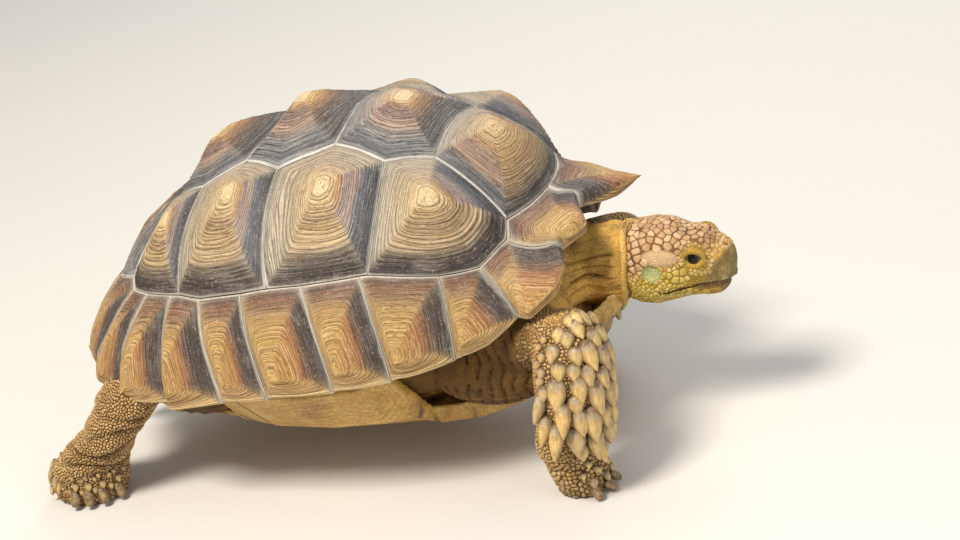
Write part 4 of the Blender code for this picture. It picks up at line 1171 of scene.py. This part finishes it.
def eyes():
    x, y, z = eyeForm["centre"]
    for side, word in ((-1, "right"), (1, "left")):
        bm = bmesh.new()
        centre = shift + Vector((x, side * y, z))
        bmesh.ops.create_uvsphere(bm, u_segments=40, v_segments=28, radius=eyeForm["radius"],
                                  matrix=Matrix.Translation(centre) @ Matrix.Rotation(math.pi / 2, 4, "X"))
        for vert in bm.verts:  # the cornea stands a little proud
            away = math.hypot(vert.co.x - centre.x, vert.co.z - centre.z)
            if side * (vert.co.y - centre.y) > 0:
                vert.co.y += side * eyeForm["bulge"] * math.exp(-((away / eyeForm["cornea"]) ** 2))
        outward(bm)
        keep(asObject(bm, f"eyeball_{word}", eyeMaterial(side)), [f"eye_{word}"])


lidForm = {"halfLength": 0.0096, "halfHeight": 0.0081, "thick": 0.0030, "sides": 14, "steps": 48}


def lids():
    # a fleshy rim round each eye, bridged from small circles, pointed at its two corners
    x, y, z = eyeForm["centre"]
    bm = bmesh.new()
    for side in (-1, 1):
        loops = []
        centre = shift + Vector((x + 0.0004, side * y, z))
        for step in range(lidForm["steps"]):
            turn = 2 * math.pi * step / lidForm["steps"]
            along = lidForm["halfLength"] * math.cos(turn)
            up = lidForm["halfHeight"] * math.sin(turn) * (1 - 0.25 * abs(math.cos(turn)) ** 3)
            depth = 0.0062 - 0.0012 * math.cos(turn) ** 2 + (0.0004 if up > 0 else -0.0002)
            spot = centre + Vector((along, side * depth, up))
            way = Vector((math.cos(turn), 0, math.sin(turn)))
            thick = lidForm["thick"] * (1.0 + 0.12 * math.sin(turn)) * (1 - 0.25 * abs(math.cos(turn)) ** 4)
            thick *= 1 + 0.05 * math.sin(turn * 17)
            aside = Vector((0, side, 0))
            matrix = ovalMatrix(spot, way, aside, way.cross(aside), thick * 1.05, thick * 0.85)
            made = bmesh.ops.create_circle(bm, cap_ends=False, segments=lidForm["sides"], radius=1.0, matrix=matrix)
            verts = set(made["verts"])
            loops.append([e for e in {e for v in verts for e in v.link_edges} if set(e.verts) <= verts])
        for here, there in zip(loops, loops[1:] + loops[:1]):
            bmesh.ops.bridge_loops(bm, edges=here + there)
    outward(bm)
    piece = asObject(bm, "eyelids", bpy.data.materials["tortoiseSkin"])
    mark(piece.data)
    keep(piece)


eyes()
lids()
print("eyes and lids done")


def surfaceTree(*meshes):
    bm = bmesh.new()
    for mesh in meshes:
        bm.from_mesh(mesh)
    tree = BVHTree.FromBMesh(bm)
    bm.free()
    return tree


def lookupOf(spots):
    lookup = KDTree(len(spots))
    for k, spot in enumerate(spots):
        lookup.insert(spot, k)
    lookup.balance()
    return lookup


skinTree = surfaceTree(skin.data)
hornTree = surfaceTree(*(node.data for name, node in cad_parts.items()
                         if name.startswith(("vertebral", "costal", "marginal", "supracaudal", "plastron"))))


def skinSpots(spacing, seed, inside):
    # scattered roots on the skin, no two closer than the spacing there; inside picks the region
    rng = steady(seed)
    mesh = skin.data
    mesh.calc_loop_triangles()
    corners = np.empty(len(mesh.loop_triangles) * 3, dtype=np.int32)
    mesh.loop_triangles.foreach_get("vertices", corners)
    points = perVertex(mesh, "co")[corners.reshape(-1, 3)]
    middle = points.mean(axis=1)
    points = points[inside(middle)]
    area = 0.5 * np.linalg.norm(np.cross(points[:, 1] - points[:, 0], points[:, 2] - points[:, 0]), axis=1)
    pitch = spacing(points.mean(axis=1))
    count = rng.poisson(area / pitch**2 * 7)  # many more than fit, so that no gap is left
    which = np.repeat(np.arange(len(points)), count)
    a, b = rng.random(len(which)), rng.random(len(which))
    flip = a + b > 1
    a, b = np.where(flip, 1 - a, a), np.where(flip, 1 - b, b)
    tri = points[which]
    spots = tri[:, 0] + a[:, None] * (tri[:, 1] - tri[:, 0]) + b[:, None] * (tri[:, 2] - tri[:, 0])
    order = rng.permutation(len(spots))
    spots = spots[order]
    pitches = spacing(spots)
    lookup = lookupOf(spots)
    alive = np.ones(len(spots), dtype=bool)
    kept = []
    for k in range(len(spots)):
        if not alive[k]:
            continue
        kept.append(k)
        for _, other, _ in lookup.find_range(spots[k], pitches[k]):
            alive[other] = False
    return spots[kept], pitches[kept]


def clearOfHorn(spots, margin):
    # which roots stay that far from every plate
    return np.array([hornTree.find_nearest(Vector(spot), margin)[0] is None for spot in spots], dtype=bool)


def cellReach(spots, pitches, sides, axisA, axisB):
    # how far each scale may spread in each direction before it meets its neighbour
    lookup = lookupOf(spots)
    near = np.array([[other for _, other, _ in lookup.find_n(spot, 13)] for spot in spots])[:, 1:]
    apart = spots[near] - spots[:, None]
    flat = np.stack([(apart * axisA[:, None]).sum(-1), (apart * axisB[:, None]).sum(-1)], axis=-1)
    turns = 2 * math.pi * np.arange(sides * 5) / (sides * 5)
    ways = np.stack([np.cos(turns), np.sin(turns)], axis=-1)
    toward = np.einsum("nkc,dc->nkd", flat, ways)
    limit = (flat**2).sum(-1)[..., None] / (2 * np.maximum(toward, 1e-6))
    limit = np.where(toward > 1e-6, limit, 1.0).min(axis=1).reshape(len(spots), sides, 5)
    best = limit.argmax(axis=2)  # corners of the cell are kept
    reach = np.take_along_axis(limit, best[..., None], axis=2)[..., 0]
    return np.minimum(reach, pitches[:, None] * 0.98), ways.reshape(sides, 5, 2)[np.arange(sides), best]


def legAt(leg, height):
    # where the middle of a leg's column lies at a height, and its radius fore and aft
    rows = np.array(leg["lower"])[::-1]
    return [np.interp(height, rows[:, 2], rows[:, k]) for k in (0, 1, 3)]


def unwrapped(spots, part):
    # where a root lies on the unwrapped skin of its part, from 0 to 1 both ways
    x, y, z = local(spots)
    if part == "head":
        turn, along = np.arctan2(z - 0.169, y), (x - 0.17) / 0.24
    elif part == "tail":
        turn, along = np.arctan2(z - 0.08, y), (x + 0.30) / 0.2
    else:
        middle, outwards, _ = legAt(legForms[part], z)
        turn, along = np.arctan2(y - legForms[part]["side"] * outwards, x - middle), z / 0.2
    return np.stack([turn / (2 * math.pi) + 0.5, np.clip(along, 0, 1)], axis=-1) * 0.96 + 0.02


def scaleCoat(name, spots, pitches, style, part, seed):
    # a pavement of closed scales rooted in the skin, each filling its share of it; style gives their shape
    rng = steady(seed)
    hits = [skinTree.find_nearest(Vector(spot)) for spot in spots]
    spots = np.array([hit[0] for hit in hits])
    normals = np.array([hit[1] for hit in hits])
    down = np.array((0.0, 0.0, -1.0))
    axisA = down - normals * (normals @ down)[:, None]
    axisA += np.cross(normals, (1.0, 0.3, 0.1)) * 1e-3
    axisA /= np.linalg.norm(axisA, axis=1, keepdims=True)
    axisB = np.cross(normals, axisA)
    reach, ways = cellReach(spots, pitches, style["sides"], axisA, axisB)
    rise = style["rise"] * (pitches / pitches.mean()) ** 0.5 * rng.uniform(0.8, 1.2, len(spots))
    own = rng.random(len(spots))
    directions = axisA[:, None] * ways[..., :1] + axisB[:, None] * ways[..., 1:]
    bm = bmesh.new()
    tip = bm.verts.layers.float.new("tip")
    tone = bm.verts.layers.float.new("own")
    spotUv = unwrapped(spots, part)
    uvLayer = bm.loops.layers.uv.new("OFBake")
    rings = []
    for share, height in style["profile"]:
        ring = spots[:, None] + directions * (reach * share - style["gap"])[..., None].clip(0.0002)
        close = [skinTree.find_nearest(Vector(point))[0] for point in ring.reshape(-1, 3)]  # hugs the skin
        rings.append(np.array(close).reshape(ring.shape) + normals[:, None] * (height * rise)[:, None, None])
    bases = []
    for k in range(len(spots)):
        bases.append(bm.faces.new([bm.verts.new(point) for point in rings[0][k]]))
    grown = bmesh.ops.extrude_face_region(bm, geom=bases)
    tops = [item for item in grown["geom"] if isinstance(item, bmesh.types.BMFace)]
    for level in range(1, len(rings)):
        if level > 1:
            bmesh.ops.inset_individual(bm, faces=tops, thickness=0.0)
        for k, face in enumerate(tops):
            for vert, point in zip(face.verts, rings[level][k]):
                vert.co = point
                vert[tip] = style["profile"][level][1]
                vert[tone] = own[k]
    for k, face in enumerate(bases):
        for vert in face.verts:
            vert[tone] = own[k]
    centres = spots + normals * (style["profile"][-1][1] * rise * 1.08)[:, None]
    poked = bmesh.ops.poke(bm, faces=tops)
    for k, vert in enumerate(poked["verts"]):
        vert.co = centres[k]
        vert[tip] = 1.0
        vert[tone] = own[k]
    bm.verts.index_update()
    owner = lookupOf(spots)
    for face in bm.faces:
        middle = face.calc_center_median()
        root = spotUv[owner.find(middle)[1]]
        for loop in face.loops:
            away = loop.vert.co - middle
            loop[uvLayer].uv = (root[0] + 0.4 * away.x, root[1] + 0.4 * away.z)
    outward(bm)
    piece = asObject(bm, name, scaleLook)
    mark(piece.data)
    print(name, len(spots), "scales", sum(len(p.vertices) - 2 for p in piece.data.polygons), "triangles")
    return keep(piece)


def scaleMaterial(name, tones):
    # dry horny scales: pale worn tops, dirt in the seams between them
    made, tree, shader = newMaterial(name, Roughness=0.6, IOR=1.5)
    place = addNode(tree, "TexCoord", output="Object")
    patchy, fine = (addNode(tree, "TexNoise", {"Vector": place, "Scale": 1000 / size, "Detail": detail,
                                               "Roughness": 0.6})
                    for size, detail in ((skinLook["scaleMottle"], 4.0), (skinLook["scaleGrain"], 3.0)))
    own, tip = (addNode(tree, "Attribute", output="Fac", attribute_name=key) for key in ("own", "tip"))
    colour = glazed(tree, toned(tree, tones)[0], (
        ("f0dcb4", "MIX", (own, 0.5, 1.0, 0.0, 0.30)),
        ("8a6438", "MIX", (own, 0.5, 0.0, 0.0, 0.30)),
        ("7a5a34", "MULTIPLY", (patchy, 0.5, 0.3, 0.0, 0.35)),
        ("7a5c38", "MULTIPLY", (fine, 0.55, 0.35, 0.0, 0.3)),
        ("4a3219", "MIX", (tip, 0.60, 0.05, 0.0, 0.75)),
    ))
    return finished(made, tree, shader, colour, fine, 0.4, 0.0003)


scaleLook = scaleMaterial("tortoiseScale", skinLook["scales"])
# scale shapes: corners, gap and height in metres, profile as pairs of share of the reach and share of the height
granule = {"sides": 6, "gap": 0.00012, "rise": 0.0010, "profile": ((1.0, -0.6), (0.86, 0.55), (0.45, 1.0))}
paving = {"sides": 8, "gap": 0.00008, "rise": 0.0007, "profile": ((1.0, -0.7), (0.90, 0.60), (0.60, 0.95))}


headPaving = {
    # spacing of the scales in metres
    "cheek": 0.0031, "crown": 0.0052, "snout": 0.0046, "brow": 0.0085, "lid": 0.0023,
    # larger ones behind the mouth's corner and along the jaw: forward, height, half sizes, spacing
    "patches": ((0.341, 0.165, 0.009, 0.006, 0.0066), (0.353, 0.1455, 0.014, 0.005, 0.0046)),
}


def headSpacing(points):
    x, y, z = local(points)
    side = np.abs(y)
    slope = crownSlope(x, z)
    pitch = np.where(slope > 0.006, headPaving["crown"], headPaving["cheek"])
    pitch = np.where((x > 0.343) & (slope > 0.006), headPaving["snout"], pitch)
    pitch = np.where((x > 0.354) & (x < 0.374) & (z > 0.198), headPaving["brow"], pitch)
    pitch = np.where((eyeReach(x, z) < 0.0125) & (side > 0.012), headPaving["lid"], pitch)
    for forward, height, long, tall, spacing in headPaving["patches"]:
        inPatch = (np.hypot((x - forward) / long, (z - height) / tall) < 1) & (side > 0.012)
        pitch = np.where(inPatch, spacing, pitch)
    return pitch


def onScaledHead(points):
    # ahead of the cowl, leaving eye, ear, temple, beak and the line of the mouth bare
    x, y, z = local(points)
    side = np.abs(y)
    eye = eyeReach(x, z) < 0.0108
    ear = (earReach(x, z) < 1.02) | (plateReach(x, z) < 1.0)
    beak = (x + 0.35 * (0.165 - z) > 0.370) & (z < 0.182) | (x > 0.352) & (z < 0.164) & (z > 0.1465)
    mouth = lineDistance(np.stack([x, z], axis=1), headForm["mouth"])[0] < 0.0016
    return (x > cowlLine(y, z) + 0.0036) & ~(eye & (side > 0.015)) & ~(ear & (side > 0.016)) & ~beak & ~mouth


def isHind(leg):
    return leg["lower"][0][0] < 0


def onLeg(leg, low, high):
    # the column of a leg, not the folds that run from it into the shell
    spread = 1.8 if isHind(leg) else 1.35

    def inside(points):
        x, y, z = local(points)
        middle, outwards, fore = legAt(leg, z)
        return (z > low) & (z < high) & (np.hypot(x - middle, y - leg["side"] * outwards) < spread * fore + 0.004)
    return inside


def onTail(points):
    x, y, z = local(points)
    return (x < -0.19) & (np.abs(y) < 0.05) & (z < 0.12)


def scaled(name, spacing, inside, style, part, seed):
    spots, pitches = skinSpots(spacing, seed, inside)
    clear = clearOfHorn(spots, 0.0025)
    return scaleCoat(name, spots[clear], pitches[clear], style, part, seed)


scaled("head_scales", headSpacing, onScaledHead, paving, "head", 301)
bead = {"sides": 6, "gap": 0.00022, "rise": 0.0011, "profile": ((1.0, -0.6), (0.82, 0.60), (0.45, 1.0))}
for name, leg in legForms.items():
    pitch, low = (0.0024, 0.022) if isHind(leg) else (0.0029, 0.045)  # larger beads below that height
    scaled(f"{name}_granules", lambda p, pitch=pitch, low=low: pitch + 0.0009 * (local(p)[2] < low),
           onLeg(leg, 0.003, 0.15 if isHind(leg) else 0.182), bead, name, 310 + len(name) + leg["side"])
scaled("tail_scales", lambda p: np.full(len(p), 0.0048), onTail, granule, "tail", 330)

spades = {
    # columns round the leg: turn in degrees, then the length of each scale from the elbow down, in mm
    "columns": (
        (-122, (9, 9, 10, 11, 11, 12, 16, 28, 30)), (-92, (16, 19, 22, 34, 38, 38)),
        (-63, (15, 17, 20, 18, 26, 22, 30, 30, 20)), (-40, (18, 20, 31, 22, 34, 36, 34)),
        (-12, (18, 22, 26, 24, 28, 26, 32, 26)), (14, (16, 20, 28, 24, 30, 30, 30)),
        (42, (14, 16, 20, 22, 22, 24, 20, 18)), (66, (10, 12, 12, 13, 14, 14, 14, 14, 12)),
    ),
    "top": {-1: 0.184, 1: 0.147}, "overlap": 0.62, "wide": 9.6, "widening": 0.31, "thick": 0.21,
    "lean": 8, "spurLean": 17, "seed": 401,
    # turn, height and length in mm of the spurs on the heel; sideways step, height and length of knobs over a claw
    "heel": ((-158, 0.050, 14), (-170, 0.038, 14), (-152, 0.034, 15), (-140, 0.027, 14), (-164, 0.024, 13),
             (-126, 0.024, 13), (-150, 0.016, 12)),
    "hindKnobs": ((0, 0.027, 9.5), (-11, 0.021, 7.5), (10, 0.034, 6.5), (-8, 0.037, 6.0)),
    "foreKnobs": ((0, 0.019, 11.5), (-14, 0.029, 8.5), (15, 0.031, 8.0), (2, 0.041, 9.0)),
}


def spade(bm, place, out, down, width, length, thick, lean, own, layers, root):
    # one overlapping scale: round at its root, widest above its middle, pointed at its free end
    made = bmesh.ops.create_uvsphere(bm, u_segments=10, v_segments=8, radius=1.0)
    aside = down.cross(out).normalized()
    turned = Matrix((aside, down, out)).transposed().to_4x4()
    matrix = Matrix.Translation(place) @ turned @ Matrix.Rotation(math.radians(lean), 4, "X")
    for vert in made["verts"]:
        across, deep, along = vert.co
        t = (1 - along) / 2
        size = max(math.hypot(across, deep), 1e-6)
        across, deep = (across / size, deep / size) if size > 1e-4 else (0.0, 0.0)
        taper = math.sqrt(min(1.0, t / 0.20)) * (1 - max(0.0, (t - 0.42) / 0.58) ** 1.6)
        swell = math.sin(math.pi * (0.22 + 0.76 * t)) ** 0.6
        x = across * taper * width * 0.5
        z = deep * thick * swell * ((0.62 + 0.60 * (1 - abs(across)) ** 1.1) if deep > 0 else 0.3)
        vert.co = matrix @ Vector((x, (t - 0.25) * length, z + 0.06 * length * max(0.0, t - 0.4) ** 2))
        # tip stays low at the root and on the underside, and rim is 1 on the underside: the material paints shadow
        # there
        vert[layers[0]] = 0.10 + 0.90 * min(1.0, max(0.0, (t - 0.12) / 0.40)) if deep > -0.3 else 0.1
        vert[layers[1]] = own
        vert[layers[3]] = 1.0 if deep <= 0.05 else abs(across) ** 1.5
        for loop in vert.link_loops:
            loop[layers[2]].uv = (root[0] + 0.0015 * across * taper, root[1] + 0.0015 * (0.5 - t))


def legSpot(leg, turn, height):
    # the skin's surface at a turn round the leg and a height
    x, outwards, fore = legAt(leg, height)
    centre = shift + Vector((x, leg["side"] * outwards, height))
    way = Vector((math.cos(turn), -leg["side"] * math.sin(turn), 0))
    hit, normal, _, _ = skinTree.ray_cast(centre + way * 0.09, -way, 0.12)
    if hit is None:
        hit, normal, _, _ = skinTree.find_nearest(centre + way * fore)
    return hit, normal


def legSpades(name, leg):
    # ogive scales and spurs down the forelegs, spurs on the hind heels, knobs over every claw
    rng = steady(spades["seed"] + leg["side"])
    bm = bmesh.new()
    layers = (bm.verts.layers.float.new("tip"), bm.verts.layers.float.new("own"), bm.loops.layers.uv.new("OFBake"),
              bm.verts.layers.float.new("rim"))

    def plant(degrees, height, width, length, thick, lean, proud=0.0012):
        place, out = legSpot(leg, math.radians(degrees), height)
        level = Vector((out.x, out.y, out.z * 0.5)).normalized()
        down = (Vector((0, 0, -1)) + level * level.z).normalized()
        spade(bm, place + level * proud, level, down, width, length, thick, lean, rng.random(), layers,
              unwrapped(np.array([place]), name)[0])

    rear = isHind(leg)
    for degrees, lengths in () if rear else spades["columns"]:
        height = spades["top"][leg["side"]] - 0.0006 * abs(degrees + 40) ** 0.8
        for row, millimetres in enumerate(lengths):
            length = millimetres * mm * rng.uniform(0.94, 1.08)
            spur = degrees < -80 and row >= len(lengths) - 2  # the last two of each rear column
            turn = degrees + rng.uniform(-2.5, 2.5) - (4 if row % 2 else -4)
            width = min(0.95 * millimetres, spades["wide"] + spades["widening"] * millimetres) * mm
            plant(turn, max(height - 0.25 * length, 0.022), width * (0.8 if spur else 1.0), length,
                  (0.0022 + spades["thick"] * width) * (1.15 if spur else 1.0),
                  spades["lean"] + (spades["spurLean"] if spur else 0) + rng.uniform(-3, 4))
            height -= spades["overlap"] * length
    for degrees, height, millimetres in spades["heel"] if rear else ():
        plant(degrees, height, 0.0068, millimetres * mm, 0.0034, 14, 0.0)
    for degrees in leg["claws"]:  # knobs over the claws
        for aside, level, size in spades["hindKnobs" if rear else "foreKnobs"]:
            plant(degrees + aside, level, 0.84 * size * mm, size * mm, 0.0036, 12, 0.0008)
    outward(bm)
    for vert in bm.verts:
        vert.co.z = max(vert.co.z, floorGap)
    piece = asObject(bm, f"{name}_spades", bpy.data.materials["tortoiseSpade"])
    mark(piece.data)
    print(piece.name, len(piece.data.polygons), "faces")
    keep(piece)


def spadeMaterial():
    # thick worn horn: buff towards the tip, with rough growth lines; its dark root, tucked under the scale above,
    # and its dark underside are painted shadow
    made, tree, shader = newMaterial("tortoiseSpade", Roughness=0.5, IOR=1.54)
    place = addNode(tree, "TexCoord", output="Object")
    upright = addNode(tree, "VectorMath", (place, (1, 1, 0.22)), operation="MULTIPLY")
    patchy, fine, streak = (addNode(tree, "TexNoise", {"Vector": where, "Scale": 1000 / size, "Detail": detail,
                                                       "Roughness": rough})
                            for where, size, detail, rough in ((place, 9.0909, 4.0, 0.6), (place, 1.4286, 3.0, 0.6),
                                                               (upright, 2.381, 5.0, 0.65)))  # sizes in mm
    tip, own, rim = (addNode(tree, "Attribute", output="Fac", attribute_name=key) for key in ("tip", "own", "rim"))
    read = addNode(tree, "Math", (tip, addNode(tree, "MapRange", (patchy, 0.3, 0.7, -0.18, 0.18))),
                   operation="ADD")
    colour = addNode(tree, "ValToRGB", (read,), stops=(
        (0.0, "4a341c"), (0.14, "80633c"), (0.30, "a08d70"), (0.50, "b39b74"), (0.75, "c5a160"), (1.0, "d8b672")))
    colour = glazed(tree, colour, (
        ("9c8d76", "MIX", (own, 0.35, 1.0, 0.0, 0.45)),
        ("8a6f4a", "MULTIPLY", (streak, 0.54, 0.36, 0.0, 0.35)),
        ("ecd6a6", "MIX", (streak, 0.54, 0.70, 0.0, 0.35)),
        # painted shadow on the underside; the top darkens towards the side edges
        ("654621", "MIX", (rim, 0.40, 1.0, 0.0, 0.80)),
    ))
    height = addNode(tree, "Math", (fine, 0.3, streak), operation="MULTIPLY_ADD")
    return finished(made, tree, shader, colour, height, 0.22, 0.0004)


spadeMaterial()
for name, leg in legForms.items():
    legSpades(name, leg)


clawForm = {
    # root height, reach outwards, fall, droop in degrees, radii at root and tip
    "fore": {"height": 0.0092, "out": 0.0100, "fall": 0.0054, "droop": 22, "base": 0.0062, "tip": 0.0040},
    "hind": {"height": 0.0175, "out": 0.0072, "fall": 0.0128, "droop": 52, "base": 0.0062, "tip": 0.0046},
}


def claws(name, leg):
    # stubby worn claws, each a row of bridged ovals that droops to the floor
    bm = bmesh.new()
    form = clawForm["hind" if isHind(leg) else "fore"]
    x, outwards, _, fore, wide = leg["lower"][-2]
    for degrees in leg["claws"]:
        turn = math.radians(degrees)
        reach = fore * wide / math.hypot(wide * math.cos(turn), fore * math.sin(turn))
        side = leg["side"]
        way = Vector((math.cos(turn), -side * math.sin(turn), 0))
        start = shift + Vector((x, side * outwards, form["height"])) + way * (reach - 0.0012)
        aside = Vector((0, 0, 1)).cross(way).normalized()
        rings = []
        for share in (0.0, 0.3, 0.6, 0.82, 0.95, 1.0):
            droop = math.radians(form["droop"] * (0.6 + 0.6 * share))
            axis = (way * math.cos(droop) - Vector((0, 0, 1)) * math.sin(droop)).normalized()
            centre = start + way * form["out"] * share - Vector((0, 0, 1)) * form["fall"] * share**1.3
            radius = form["base"] * (1 - share) + form["tip"] * share
            radius *= 1.0 if share < 0.9 else (0.80 if share < 0.97 else 0.35)
            rings.append(ovalMatrix(centre, aside, axis.cross(aside), axis, radius * 0.92, radius * 0.78))
        ringed(bm, rings, 12)
    outward(bm)
    for vert in bm.verts:
        vert.co.z = max(vert.co.z, 0.0003)
    print(f"{name}_claws", len(leg["claws"]))
    return keep(asObject(bm, f"{name}_claws", bpy.data.materials["clawHorn"]))


def clawMaterial():
    # dull horn, streaked from dark to pale brown
    made, tree, shader = newMaterial("clawHorn", Roughness=0.48, IOR=1.54)
    place = addNode(tree, "TexCoord", output="Object")
    streak = addNode(tree, "TexNoise", {"Vector": place, "Scale": 1000 / 3.8462, "Detail": 4.0, "Roughness": 0.6})
    colour = addNode(tree, "ValToRGB", (streak,), stops=((0.30, "4a3a26"), (0.50, "7d6642"), (0.72, "a88d62")))
    return finished(made, tree, shader, colour, streak, 0.4, 0.0004)


clawMaterial()
for name, leg in legForms.items():
    claws(name, leg)


studioForm = {
    "paper": "d9d6cf", "air": ("eef0f2", 0.40), "aim": (0, 0, 0.12),
    # place in metres, size, watts, tint
    "lights": {
        "keyLight": ((-0.4, -1.6, 2.5), 0.8, 102, "fff6ea"),
        "fillLight": ((1.9, -1.0, 1.2), 1.6, 14, "eaf1ff"),
        "rimLight": ((0.2, 2.0, 1.9), 1.4, 26, "ffffff"),
    },
    "lens": 95.08, "camera": (0.92722, -2.01311, 1.09344),
    # the camera's right, up and back
    "axes": ((0.93523, 0.30629, -0.17758), (0.03075, 0.42939, 0.90260), (0.35271, -0.84959, 0.39216)),
}


def studio():
    # plain pale floor; soft light from above the right side, from ahead and from the far side
    bm = bmesh.new()
    bmesh.ops.create_grid(bm, x_segments=1, y_segments=1, size=6.0)
    paper, *_ = newMaterial("studioPaper", Base_Color=linear(studioForm["paper"]), Roughness=0.9)
    floor = asObject(bm, "studioFloor", paper)
    scene.collection.objects.link(floor)
    world = bpy.data.worlds.new("studioWorld")
    world.use_nodes = True
    tint, strength = studioForm["air"]
    world.node_tree.nodes["Background"].inputs["Color"].default_value = linear(tint)
    world.node_tree.nodes["Background"].inputs["Strength"].default_value = strength
    scene.world = world
    for name, (place, size, power, tint) in studioForm["lights"].items():
        lamp = bpy.data.lights.new(name, "AREA")
        lamp.size, lamp.energy, lamp.color = size, power, linear(tint)[:3]
        lit = bpy.data.objects.new(name, lamp)
        lit.location = place
        lit.rotation_euler = (Vector(studioForm["aim"]) - Vector(place)).to_track_quat("-Z", "Y").to_euler()
        scene.collection.objects.link(lit)


def aimCamera():
    # a long lens, a little above the shell and ahead of its right side
    lens = bpy.data.cameras.new("sceneCamera")
    lens.lens, lens.sensor_width = studioForm["lens"], 36.0
    lens.clip_start, lens.clip_end = 0.05, 50
    camera = bpy.data.objects.new("sceneCamera", lens)
    turned = Matrix(studioForm["axes"]).transposed().to_4x4()
    camera.matrix_world = Matrix.Translation(studioForm["camera"]) @ turned
    scene.collection.objects.link(camera)
    scene.camera = camera


studio()
aimCamera()
print("studio and camera done")
scene.view_settings.view_transform = "Standard"
